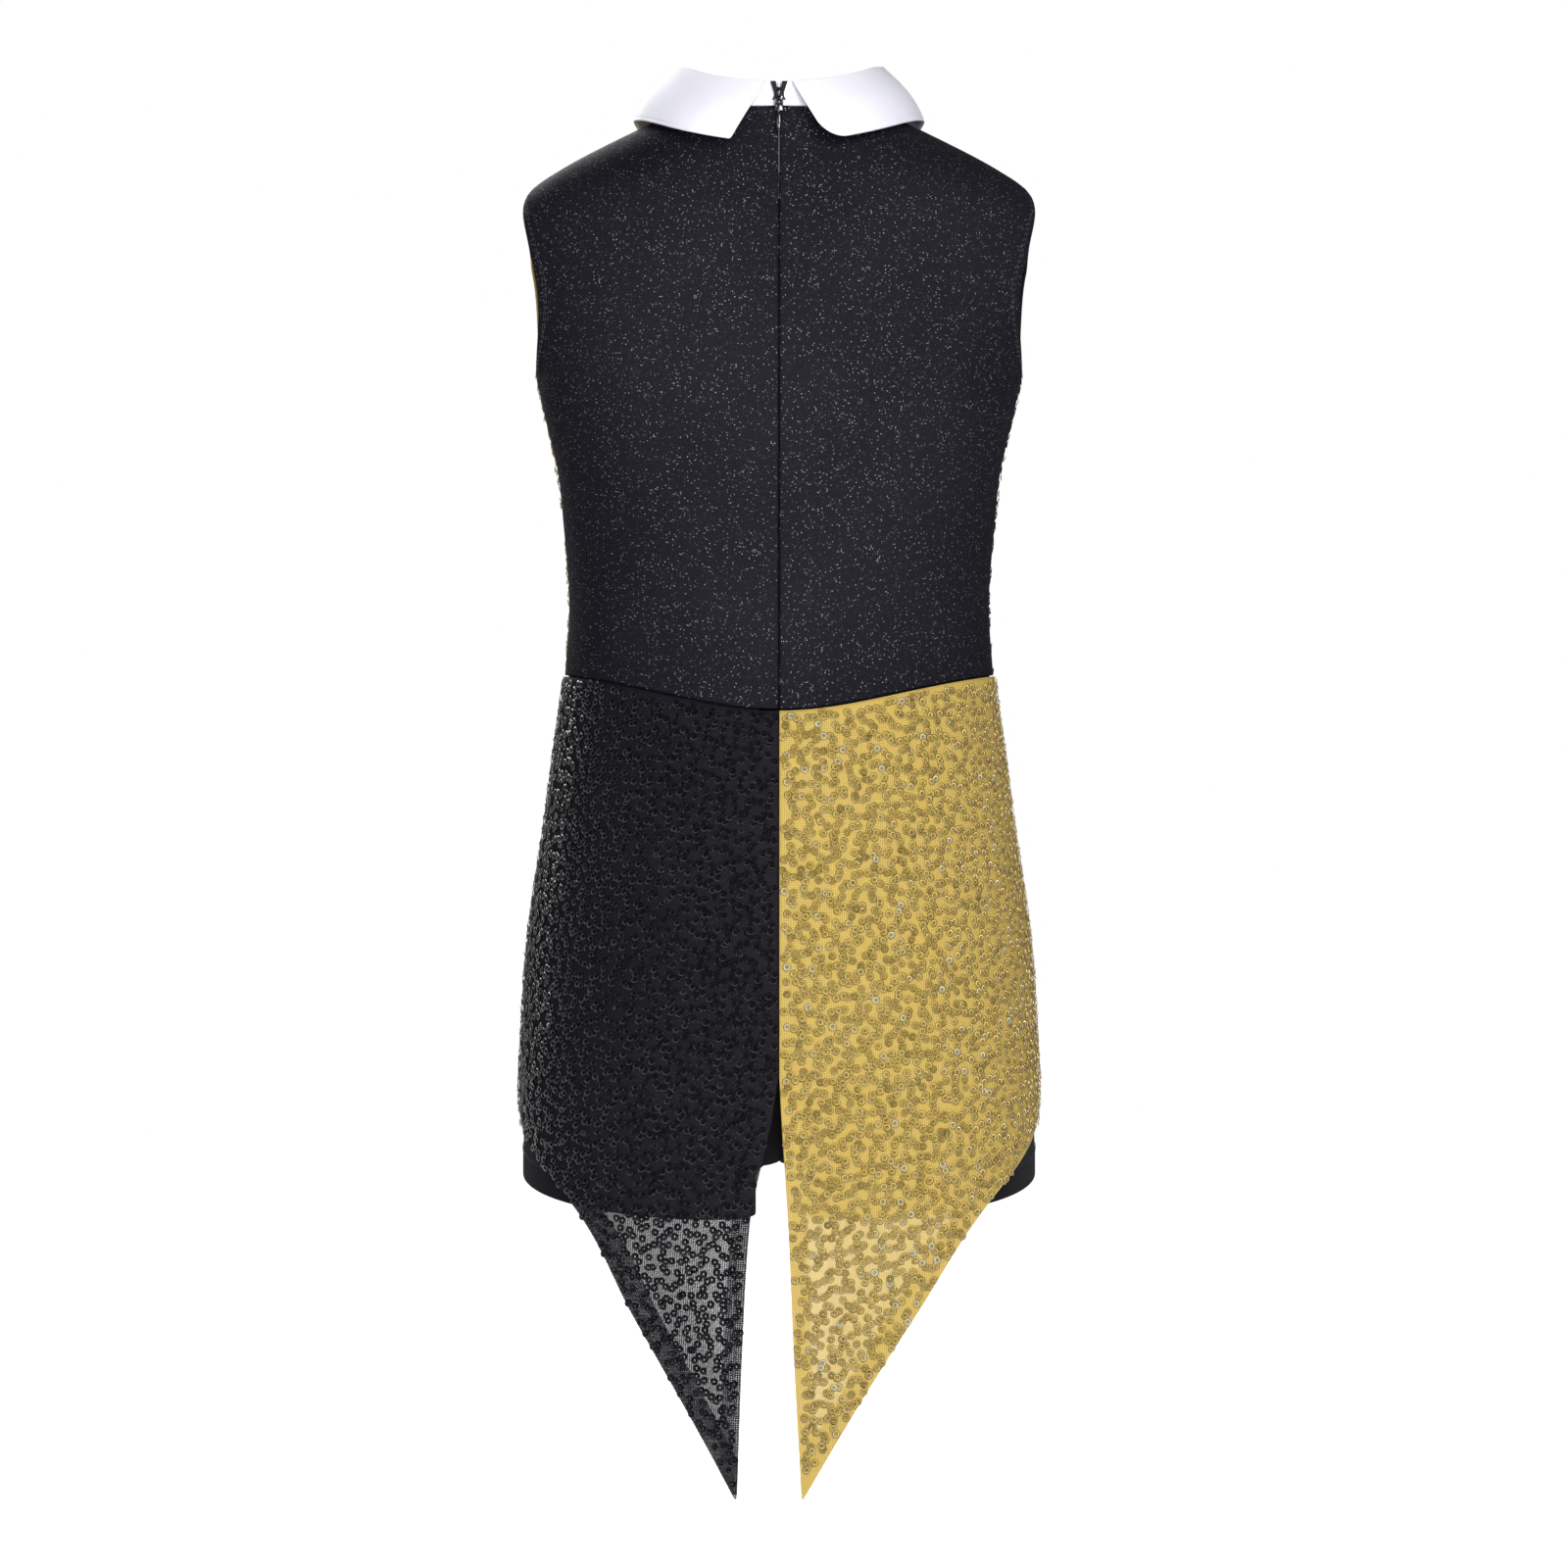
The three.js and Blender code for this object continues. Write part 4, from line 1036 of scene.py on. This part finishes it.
def make_skirt_net(side):
    color = SKIRTS[side]["color"]
    net = cloth_piece(f"skirt_net_{side}", sided(skirt_surface(side), side), 110, 150, NETS[color],
                      thickness=0.0004, edges=(0.3, 0.0))
    across_the_bend(net)
    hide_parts(f"overskirt_{side}", f"tail_{side}")
    return net


HEM_WIDTH = 0.009
HEM_FOLD_GAP = 0.0007
HEM_TOPS = {"inner": SLIT_TOP, "outer": CUT_HIP}


def hem_strip(side, edge):
    """The edge of the cut folded back once, so that the net is double there."""

    def surface(a, b):
        z = mix(HEM_TOPS[edge], -TAIL_DROP + 0.002, b)
        first, last = skirt_edges(side, z)
        wide = np.minimum(HEM_WIDTH / skirt_back(z), last - first)
        angle = first + wide * a if edge == "inner" else last - wide * 1.25 * (1 - a)
        point = skirt_at(np.maximum(angle, first), z)
        return point + ripple(point, z) - outward(point) * HEM_FOLD_GAP

    return surface


def make_hem_strips(side):
    color = SKIRTS[side]["color"]
    strips = []
    for edge in HEM_TOPS:
        strip = cloth_piece(f"skirt_hem_{edge}_{side}", sided(hem_strip(side, edge), side), 6, 110,
                            NETS[color], thickness=0.0003, edges=(0, 0))
        across_the_bend(strip)
        strips.append(strip)
    return strips


skirt_nets = {side: make_skirt_net(side) for side in SIDES}
skirt_hems = {side: make_hem_strips(side) for side in SIDES}


# %% Overskirt sequins
SEQUIN_SPLIT = -0.42
SKIRT_MARGIN = 0.0014
SKIRT_SEEDS = {"left": 5, "right": 9}
ARC_STEPS = 240


def arc_table(heights, shape):
    """Lengths along the cloth from the centre back, at each height and angle."""
    angles = np.linspace(0, WRAP, ARC_STEPS)
    grid = shape(angles[None, :].repeat(len(heights), 0), heights[:, None].repeat(ARC_STEPS, 1))
    steps = np.linalg.norm(np.diff(grid, axis=1), axis=2)
    return angles, np.concatenate([np.zeros((len(heights), 1)), np.cumsum(steps, 1)], 1)


def lay_on_skirt(side, flat, margin):
    """Moves flat places onto the overskirt, and drops those outside the cut."""
    heights = np.linspace(-TAIL_DROP, WAIST_CENTRE + WAIST_DIP, 260)
    angles, arcs = arc_table(heights, skirt_at)
    z = WAIST_CENTRE + WAIST_DIP - flat[:, 1]
    level = np.clip(np.searchsorted(heights, z), 0, len(heights) - 1)
    angle = np.array([np.interp(s, arcs[k], angles) for s, k in zip(flat[:, 0], level)])
    first, last = skirt_edges(side, z)
    start = np.array([np.interp(f, angles, arcs[k]) for f, k in zip(first, level)])
    finish = np.array([np.interp(f, angles, arcs[k]) for f, k in zip(last, level)])
    inside = (flat[:, 0] > start + margin) & (flat[:, 0] < finish - margin)
    inside &= (z < waist_height(angle) - 0.002) & (z > -TAIL_DROP + 0.004)
    return angle[inside], z[inside]


def frame_on(shape, angle, z):
    """Points, outward normals and round-the-body directions of a shape."""
    h = 1e-4
    point = shape(angle, z)
    along = shape(angle + h, z) - shape(angle - h, z)
    down = shape(angle, z + h) - shape(angle, z - h)
    normal = np.cross(along, down)
    normal /= np.linalg.norm(normal, axis=1, keepdims=True)
    out = np.sign((normal[:, :2] * point[:, :2]).sum(1))
    return point, normal * out[:, None], along


def rippled_skirt(angle, z):
    point = skirt_at(angle, z)
    return point + ripple(point, z)


def make_skirt_sequins(side, seed):
    color = SKIRTS[side]["color"]
    rng = np.random.default_rng(seed)
    flat = winding_points(0.31, 0.42, rng)
    angle, z = lay_on_skirt(side, flat, SKIRT_MARGIN)
    point, normal, along = frame_on(rippled_skirt, angle, z)
    if side == "right":
        flip = np.array([-1, 1, 1])
        point, normal, along = point * flip, normal * flip, along * flip
    parts = []
    for name, chosen in (("upper", z > SEQUIN_SPLIT), ("lower", z <= SEQUIN_SPLIT)):
        sewn = sew_sequins(f"skirt_sequins_{name}_{side}", point[chosen], normal[chosen],
                           along[chosen], color, rng)
        across_the_bend(sewn)
        parts.append(sewn)
    print("skirt sequins", side, len(z))
    return parts


skirt_sequins = {side: make_skirt_sequins(side, seed) for side, seed in SKIRT_SEEDS.items()}

# %% [markdown]
# ## Front panels
# The front is the same fitted shape as the back, without the zip. On the wearer's left it is
# covered with gold sequins, which show as a thin line at the shoulder and under the arm from behind.

# %% Front panels
FRONTS = {"left": "gold", "right": "black"}
FRONT_MARGIN = 0.002
SIDE_MARGIN = 0.006
FRONT_ROWS, FRONT_COLUMNS = 200, 60


def make_front(side, seed):
    color = FRONTS[side]
    shape = dressed_bodice(STRAIGHT, 0.0, 0.0)
    panel = cloth_piece(f"front_panel_{side}", sided(shape, side), 84, 190, FRONT_CLOTH[color])
    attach(panel, "garment")
    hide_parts(f"front_bodice_{side}")
    rng = np.random.default_rng(seed)
    flat = winding_points(0.17, 0.36, rng)
    a, b = lay_on_front(flat)
    line = surface_line(plain_bodice(STRAIGHT, 0.0), lambda share: (a, b))
    point, normal = line(None)
    along = np.cross(normal, np.array([0.0, 0.0, 1.0]))
    flip = np.array([1 if side == "left" else -1, 1, 1])
    sewn = sew_sequins(f"front_sequins_{side}", point * flip, normal * flip, along * flip, color, rng,
                       lift=0.0007)
    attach(sewn, "garment")
    print("front sequins", side, len(a))


def lay_on_front(flat):
    """Cloth shares of flat places on the front panel, measured along its own rows."""
    surface = plain_bodice(STRAIGHT, 0.0)
    rows, columns = np.linspace(0, 1, FRONT_ROWS), np.linspace(0, 1, FRONT_COLUMNS)
    grid = surface(columns[None, :].repeat(FRONT_ROWS, 0), rows[:, None].repeat(FRONT_COLUMNS, 1))
    up = np.concatenate([[0], np.cumsum(np.linalg.norm(np.diff(grid[:, 0], axis=0), axis=1))])
    steps = np.linalg.norm(np.diff(grid, axis=1), axis=2)
    out = np.concatenate([np.zeros((FRONT_ROWS, 1)), np.cumsum(steps, 1)], 1)
    a, b = [], []
    for s, q in flat:
        k = int(np.clip(np.searchsorted(up, q), 0, FRONT_ROWS - 1))
        if not FRONT_MARGIN < q < up[-1] - FRONT_MARGIN:
            continue
        if FRONT_MARGIN < s < out[k, -1] - SIDE_MARGIN:
            a.append(np.interp(s, out[k], columns))
            b.append(np.interp(q, up, rows))
    return np.array(a), np.array(b)


FRONT_CLOTH = {
    "gold": small_part("gold_backing", (0.52, 0.365, 0.085), (0.64, 0.455, 0.115), 0.6, 90.0),
    "black": BLACK_KNIT,
}
for side, seed in (("left", 21), ("right", 22)):
    make_front(side, seed)

# %% [markdown]
# ## Shorts
# Each side is cut as a back and a front that meet at the centre seam, the side and the inside leg.
# Below the seat the ovals slide outwards until each side closes into a leg, which gives the curved
# crotch seam without a separate shape. The hem is a folded band held by two rows of stitches.


# %% Shorts panels
ARCH_SHARE = 0.1


def shorts_point(turn, z, gap=0.0):
    drop = (-SEAT_DROP - z) / (CROTCH_DROP - SEAT_DROP)
    arch = np.clip((drop - 1) / ARCH_SHARE, 0, 1)
    parted = (LEG_SPREAD - 1) * np.sqrt(arch * (2 - arch))
    spread = np.minimum(1, np.maximum(drop, 0) ** 1.5) + parted
    radius = (half_width(z) - gap) / (1 + spread)
    opened = np.arcsin(np.minimum(1, spread))
    angle = np.where(turn <= RIGHT, mix(-opened, RIGHT, turn / RIGHT),
                     mix(RIGHT, STRAIGHT + opened, turn / RIGHT - 1))
    deep = np.where(np.cos(angle) > 0, back_depth(z), front_depth(z))
    return np.stack([gap + radius * (spread + np.sin(angle)), deep * np.cos(angle), z], -1)


def hem_height(turn):
    return -HEM_DROP - HEM_DIP * (1 - (1 - np.abs(turn / RIGHT - 1)) ** 2)


PARTING = (CROTCH_DROP + WAIST_CENTRE) / (HEM_DROP + HEM_DIP + WAIST_CENTRE)
shorts_row = through([[0, 0], [0.45, PARTING - 0.02], [0.8, PARTING + 0.035], [1, 1]])


def shorts_surface(first):
    def surface(a, b):
        turn, b = mix(first, first + RIGHT, a), shorts_row(b)
        z = mix(waist_height(turn) - SEAM_GAP, hem_height(turn), b)
        point = shorts_point(turn, z)
        creases = np.sin(point[..., 2] * 170 + point[..., 0] * 90) * np.sin(point[..., 0] * 70 + 1)
        near = smooth((-z - 0.47) / 0.05) * smooth((HEM_DROP - 0.006 + z) / 0.02)
        out = point[..., :2] / np.linalg.norm(point[..., :2], axis=-1, keepdims=True)
        point[..., :2] -= out * (0.0008 * near * (creases + 1) / 2)[..., None]
        return point

    return surface


def make_shorts(side):
    for place, first in (("back", 0.0), ("front", RIGHT)):
        panel = cloth_piece(f"shorts_{place}_panel_{side}", sided(shorts_surface(first), side),
                            60, 150, BLACK_KNIT, edges=(0.5, 0.0))
        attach(panel, "garment")
        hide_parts(f"shorts_{place}_{side}")


for side in SIDES:
    make_shorts(side)


# %% Leg hems
HEM_BAND = 0.016
LEG_STITCH_HEIGHTS = (0.0125, 0.0140)


def hem_surface(inset):
    def surface(a, b):
        turn = mix(0.004, STRAIGHT - 0.004, a)
        low = hem_height(turn) + 0.0006
        z = mix(low + HEM_BAND, low, b)
        point = shorts_point(turn, z)
        centre = np.stack([half_width(z) * LEG_SPREAD / (1 + LEG_SPREAD), 0 * z], -1)
        out = point[..., :2] - centre
        out /= np.linalg.norm(out, axis=-1, keepdims=True)
        point[..., :2] -= out * inset
        return point

    return surface


def make_leg_hem(side):
    middle = half_width(np.array(-HEM_DROP)) * LEG_SPREAD / (1 + LEG_SPREAD)
    flip = 1 if side == "left" else -1
    band = cloth_piece(f"leg_hem_band_{side}", sided(hem_surface(CLOTH + LINING_GAP), side), 120, 8,
                       BLACK_KNIT, thickness=0.0008, edges=(0, 0), centre=(flip * middle, 0))
    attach(band, "garment")
    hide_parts(f"leg_hem_{side}")
    for number, height in enumerate(LEG_STITCH_HEIGHTS):
        def line(share, height=height):
            turn = mix(0.01, STRAIGHT - 0.01, share)
            point = shorts_point(turn, hem_height(turn) + height)
            out = point - np.array([middle, 0, 0])
            out[..., 2] = 0
            out /= np.linalg.norm(out, axis=-1, keepdims=True)
            mirror = np.array([flip, 1, 1])
            return point * mirror, out * mirror
        row = stitch_row(f"leg_stitch_{number}_{side}", line, BLACK_THREAD)
        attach(row, "garment")


for side in SIDES:
    make_leg_hem(side)

# %% [markdown]
# ## Collar
# The collar is cut double in satin and turned, so its edge is a soft roll with the seam just inside
# it. A band stands up from the neck seam and the leaf folds over it. On the wearer's left the back
# corner is sharp, and on the right it is rounded.

# %% Collar shape
STAND_BACK = 0.012
STAND_SIDE = 0.024
STAND_CLOTH = 0.0016
LEAF_CLOTH = 0.0018
LEAF_HALF_WIDTH = 0.074
LEAF_BACK = 0.075
LEAF_FRONT = 0.078
LEAF_BACK_DROP = 0.023
LEAF_SIDE_DROP = 0.004
LEAF_FRONT_DROP = 0.057
LEAF_LIFT = 0.0026
LEAF_POINT_ANGLE = math.radians(46)


def fold_point(angle, lift):
    seam = neck_point(angle)
    height = mix(STAND_BACK, STAND_SIDE, np.sin(angle) ** 2)
    back = zip_line(STAND_BACK - NECK_DIP)
    point = oval(angle, NECK_HALF_WIDTH - 0.004 + lift, back + lift, NECK_FRONT + 0.001 + lift, 2,
                 0.0)
    point[..., 2] = seam[..., 2] + height
    return point


def leaf_edge(angle):
    end = np.where(np.cos(angle) > 0, LEAF_BACK_DROP, LEAF_FRONT_DROP)
    z = -mix(end, LEAF_SIDE_DROP, np.sin(angle) ** 2)
    return oval(angle, LEAF_HALF_WIDTH, LEAF_BACK, LEAF_FRONT, 2, z)


def rounded(x, y, radius):
    """Pulls the corner at x = 0, y = 0 of a square grid onto a quarter circle."""
    p, q = np.clip(1 - x / radius, 0, 1), np.clip(1 - y / radius, 0, 1)
    length = np.sqrt(p * p + q * q)
    scale = np.where(length > 0, np.maximum(p, q) / np.where(length > 0, length, 1), 1)
    return (np.where((p > 0) & (q > 0), radius * (1 - p * scale), x),
            np.where((p > 0) & (q > 0), radius * (1 - q * scale), y))


CORNER = {"left": 0.0012, "right": 0.012}
LEAF_LENGTH = 0.22
LEAF_WIDTH = 0.036


def leaf_surface(side):
    radius = CORNER[side]

    def surface(a, b):
        x, y = rounded(a * LEAF_LENGTH, (1 - b) * LEAF_WIDTH, radius)
        a, b = x / LEAF_LENGTH, 1 - y / LEAF_WIDTH
        angle = mix(np.radians(mix(6, 19, b)), np.radians(mix(177, 172, b)), a)
        top, bottom = fold_point(angle, LEAF_LIFT), leaf_edge(angle)
        point = mix(top, bottom, b[..., None])
        roll = np.sin(STRAIGHT * np.clip(b, 0, 1)) * 0.003
        straight_edge = np.minimum(np.minimum(x, LEAF_LENGTH - x), y)
        near_corner = (x < radius) & (y < radius)
        edge = np.where(near_corner, radius - np.hypot(radius - x, radius - y), straight_edge)
        groove = -0.00035 * np.exp(-(((edge - 0.0021) / 0.0006) ** 2))
        turned = -0.0008 * np.clip(1 - edge / 0.0012, 0, 1) ** 2
        wave = 0.0006 * np.sin(a * 17) * b
        return point + outward(bottom) * (roll + groove + turned + wave)[..., None]

    return surface


def make_leaf(side):
    leaf = cloth_piece(f"collar_fold_{side}", sided(leaf_surface(side), side), 170, 44, SATIN,
                       thickness=LEAF_CLOTH, edges=(0.8, 0.8))
    start = leaf_edge(np.array([LEAF_POINT_ANGLE]))[0]
    end = leaf_edge(np.array([LEAF_POINT_ANGLE * 0.62]))[0]
    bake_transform(leaf)
    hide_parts(f"collar_leaf_{side}", f"collar_point_{side}")


def stand_surface(a, b):
    gap = np.arctan(0.0008 / NECK_BACK)
    turn = mix(gap, 2 * STRAIGHT - gap, a)
    angle = np.where(turn <= STRAIGHT, turn, 2 * STRAIGHT - turn)
    seam = neck_point(angle)
    point = mix(seam, fold_point(angle, 0.0), b[..., None])
    point[..., 0] *= np.where(turn <= STRAIGHT, 1, -1)
    return point


def make_stand():
    stand = cloth_piece("collar_band", stand_surface, 220, 16, SATIN, thickness=STAND_CLOTH,
                        edges=(0, 0.5))
    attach(stand, "garment")
    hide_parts("collar_stand")


make_stand()
for side in SIDES:
    make_leaf(side)

# %% [markdown]
# ## Tapes and facings inside
# Knit stretches, so the shoulder and waist seams have a narrow tape sewn in, and the armhole is
# turned over a facing. They only show through the neck and the armholes.


# %% Inside tapes
def facing_surface(a, b):
    """Just inside the armhole edge, all the way round."""
    turn = a * 2 * STRAIGHT - RIGHT
    reach = mix(1.01, 1 + 0.008 / ARMHOLE_HALF_DEPTH, b)
    y = ARMHOLE_HALF_DEPTH * reach * np.cos(turn)
    z = ARMHOLE_CENTRE + ARMHOLE_HALF_HEIGHT * reach * np.sin(turn)
    far = np.where(y >= 0, 0.0, STRAIGHT)

    def angle_at(t):
        def past(share):
            return np.abs(y) - np.abs(bodice_form(far + (RIGHT - far) * share, t)[..., 1])

        return far + (RIGHT - far) * solve(past, 0, 1, t)

    t = solve(lambda value: bodice_form(angle_at(value), value)[..., 2] - z, 0.3, 0.99, y)
    point = bodice_form(angle_at(t), t)
    return point - outward(point) * (CLOTH + LINING_GAP)


def inside_tape(name, surface, across, down, node):
    tape = cloth_piece(name, surface, across, down, BLACK_KNIT, thickness=0.0008, edges=(0, 0))
    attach(tape, "garment")
    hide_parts(node)
    return tape


def waist_surface(a, b):
    turn = mix(0.14, 2 * STRAIGHT - 0.14, a)
    angle = np.where(turn <= STRAIGHT, turn, 2 * STRAIGHT - turn)
    point = body(angle, waist_height(angle) + mix(0.004, -0.004, b))
    point = point - outward(point) * (CLOTH + LINING_GAP)
    point[..., 0] *= np.where(turn <= STRAIGHT, 1, -1)
    return point


def shoulder_surface(a, b):
    t = mix(0.96, SHOULDER_TIP + 0.05, b)
    x = bodice_form(np.full_like(t, RIGHT), t)[..., 0]
    point = bodice_form(RIGHT + mix(-0.004, 0.004, a) / x, t)
    return point - np.array([0.0008, 0, CLOTH + LINING_GAP + 0.0006])


inside_tape("waist_stay", waist_surface, 160, 2, "waist_tape")
for side in SIDES:
    inside_tape(f"armhole_band_{side}", sided(facing_surface, side), 96, 4,
                f"armhole_facing_{side}")
    inside_tape(f"shoulder_stay_{side}", sided(shoulder_surface, side), 4, 30,
                f"shoulder_tape_{side}")

# %% [markdown]
# ## Zip
# A concealed zip shows only as a seam: the coils and tapes lie behind the cloth. What shows is the
# top, where the black tape ends splay beside a small lacquered slider, and the slim drop-shaped
# pull that hangs from its bridge. The parts are made upright, then leaned with the centre back.

# %% Zip frame
ZIP_LEAN = math.atan(ZIP_SLOPE)
ZIP_FRAME = Matrix.Translation((0, NECK_BACK, 0)) @ Matrix.Rotation(ZIP_LEAN, 4, "X")
ZIP_TOP = 0.009
ZIP_BOTTOM = WAIST_CENTRE / math.cos(ZIP_LEAN) + 0.008
TAPE_INSET = 0.0025
TAPE_CLOTH = 0.0006
TAPE_SPLAY = 0.0026
COIL_PITCH = 0.0013
COIL_FACE = -(TAPE_INSET + TAPE_CLOTH + 0.0003)
SLIDER_TOP = ZIP_TOP - 0.003
SLIDER_BOTTOM = SLIDER_TOP - 0.012
PIVOT = Vector((0, 0.0034, SLIDER_BOTTOM + 0.004))


def zip_piece(bm, name, body_name, node):
    bmesh.ops.transform(bm, matrix=ZIP_FRAME, verts=bm.verts)
    piece = finish_mesh(bm, name, LACQUER, math.radians(35))
    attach(piece, body_name)
    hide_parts(node)


def soft_block(bm, low, high, bevel, segments=2):
    """A block between two corners with rounded edges, added to a bmesh."""
    low, high = Vector(low), Vector(high)
    made = bmesh.ops.create_cube(bm, size=1.0)["verts"]
    bmesh.ops.scale(bm, vec=high - low, verts=made)
    bmesh.ops.translate(bm, vec=(high + low) / 2, verts=made)
    edges = list({e for v in made for e in v.link_edges})
    bmesh.ops.bevel(bm, geom=edges, offset=bevel, affect="EDGES", segments=segments, profile=0.5,
                    material=-1)


# %% Tapes, coils and stops
def make_tape(side):
    flip = 1 if side == "left" else -1

    def surface(a, b):
        z = mix(ZIP_BOTTOM - 0.002, ZIP_TOP - 0.0002, b)
        lift = smooth((z + 0.004) / 0.007)
        spread = np.clip((z - 0.001) / 0.008, 0, 1)
        outer = mix(0.0055, 0.0018 + TAPE_SPLAY * spread, lift)
        x = mix(0.00004 + 0.0016 * spread, outer, a)
        y = -TAPE_INSET + lift * 0.0046
        local = np.stack([flip * x, 0 * x + y, z, np.ones_like(x)], -1)
        return (local @ np.array(ZIP_FRAME).T)[..., :3]

    tape = cloth_piece(f"zip_ribbon_{side}", surface, 8, 160, TAPE, thickness=TAPE_CLOTH, edges=(0, 0))
    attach(tape, "garment")
    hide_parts(f"zip_tape_{side}")


def make_coil(side):
    flip = 1 if side == "left" else -1
    heights = np.arange(ZIP_BOTTOM + 0.003, ZIP_TOP - 0.003, COIL_PITCH)
    bm = bmesh.new()
    bmesh.ops.create_uvsphere(bm, u_segments=6, v_segments=4, radius=1.0)
    places = np.zeros((len(heights), 4, 4))
    centre = np.array([flip * 0.00095, COIL_FACE - 0.0005])
    for place, z in zip(places, heights):
        place[:] = np.diag([0.0007, 0.0005, 0.00042, 1])
        place[:3, 3] = (centre[0], centre[1], z)
    places = np.array(ZIP_FRAME) @ places
    coil = stamp(f"zip_teeth_{side}", bm, places, NYLON)
    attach(coil, "garment")
    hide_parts(f"zip_coil_{side}")


def make_stops():
    for side, flip in (("left", 1), ("right", -1)):
        bm = bmesh.new()
        x = sorted((flip * 0.00045, flip * 0.0022))
        soft_block(bm, (x[0], COIL_FACE - 0.001, ZIP_TOP - 0.002),
                   (x[1], COIL_FACE, ZIP_TOP - 0.0002), 0.0002)
        zip_piece(bm, f"top_stop_{side}", "garment", f"zip_top_stop_{side}")
    bm = bmesh.new()
    soft_block(bm, (-0.0019, COIL_FACE - 0.001, ZIP_BOTTOM),
               (0.0019, COIL_FACE, ZIP_BOTTOM + 0.002), 0.0002)
    zip_piece(bm, "bottom_stop", "garment", "zip_bottom_stop")


for side in SIDES:
    make_tape(side)
    make_coil(side)
make_stops()


# %% Slider
def make_slider():
    """A back plate with flanges, a web through the slit, a shaped front plate and a bridge."""
    bm = bmesh.new()
    back = COIL_FACE - 0.0014
    low, high = SLIDER_BOTTOM, SLIDER_TOP
    soft_block(bm, (-0.0036, back - 0.001, low), (0.0036, back, high), 0.0003)
    soft_block(bm, (-0.0002, back - 0.0002, low + 0.0004), (0.0002, 0.0010, high - 0.0004),
               0.00005, 1)
    for flip in (-1, 1):
        wall = sorted((flip * 0.0026, flip * 0.0036))
        soft_block(bm, (wall[0], back - 0.0002, low), (wall[1], COIL_FACE - 0.0001, high),
                   0.0003)
        cheek = sorted((flip * 0.0015, flip * 0.0022))
        soft_block(bm, (cheek[0], 0.0010, PIVOT.z - 0.0022),
                   (cheek[1], PIVOT.y + 0.0008, PIVOT.z + 0.0022), 0.0003)
    soft_block(bm, (-0.0022, 0.0006, low), (0.0022, 0.0014, high), 0.0004, 3)
    bar = bmesh.ops.create_cone(bm, cap_ends=True, segments=16, radius1=0.0005, radius2=0.0005,
                                depth=0.0042)
    turn = Matrix.Translation(PIVOT) @ Matrix.Rotation(RIGHT, 4, "Y")
    bmesh.ops.transform(bm, matrix=turn, verts=bar["verts"])
    crown = bmesh.ops.create_uvsphere(bm, u_segments=16, v_segments=10, radius=1.0)["verts"]
    bulge = Matrix.Diagonal((0.0017, 0.0014, 0.0026, 1))
    shape = Matrix.Translation((0, 0.0022, high - 0.0030)) @ bulge
    bmesh.ops.transform(bm, matrix=shape, verts=crown)
    zip_piece(bm, "slider_body", "slider", "zip_slider")


def make_pull():
    """An eye round the bridge bar, a thin neck and a slim drop."""
    bm = bmesh.new()
    ring = [bm.verts.new((x * 0.0011, y, 0)) for x, y in
            ((-1, 0.0009), (1, 0.0009), (1, 0.0013), (0.6, 0.0016), (-0.6, 0.0016), (-1, 0.0013))]
    for k, vert in enumerate(ring):
        bm.edges.new((vert, ring[(k + 1) % len(ring)]))
    bmesh.ops.spin(bm, geom=bm.verts[:] + bm.edges[:], cent=(0, 0, 0), axis=(1, 0, 0),
                   angle=2 * STRAIGHT, steps=20, use_merge=True)
    bmesh.ops.remove_doubles(bm, verts=bm.verts, dist=1e-6)
    bmesh.ops.recalc_face_normals(bm, faces=bm.faces)
    soft_block(bm, (-0.0006, -0.0005, -0.0050), (0.0006, 0.0005, -0.0013), 0.0003)
    drop = bmesh.ops.create_uvsphere(bm, u_segments=20, v_segments=16, radius=1.0)["verts"]
    for vert in drop:
        height = vert.co.z
        taper = 1 - 0.55 * max(0.0, height) ** 1.2
        vert.co = (vert.co.x * 0.0017 * taper, vert.co.y * 0.0012, height * 0.0055 - 0.0095)
    bmesh.ops.translate(bm, verts=bm.verts, vec=PIVOT)
    zip_piece(bm, "pull_drop", "pull", "zip_pull")


make_slider()
make_pull()
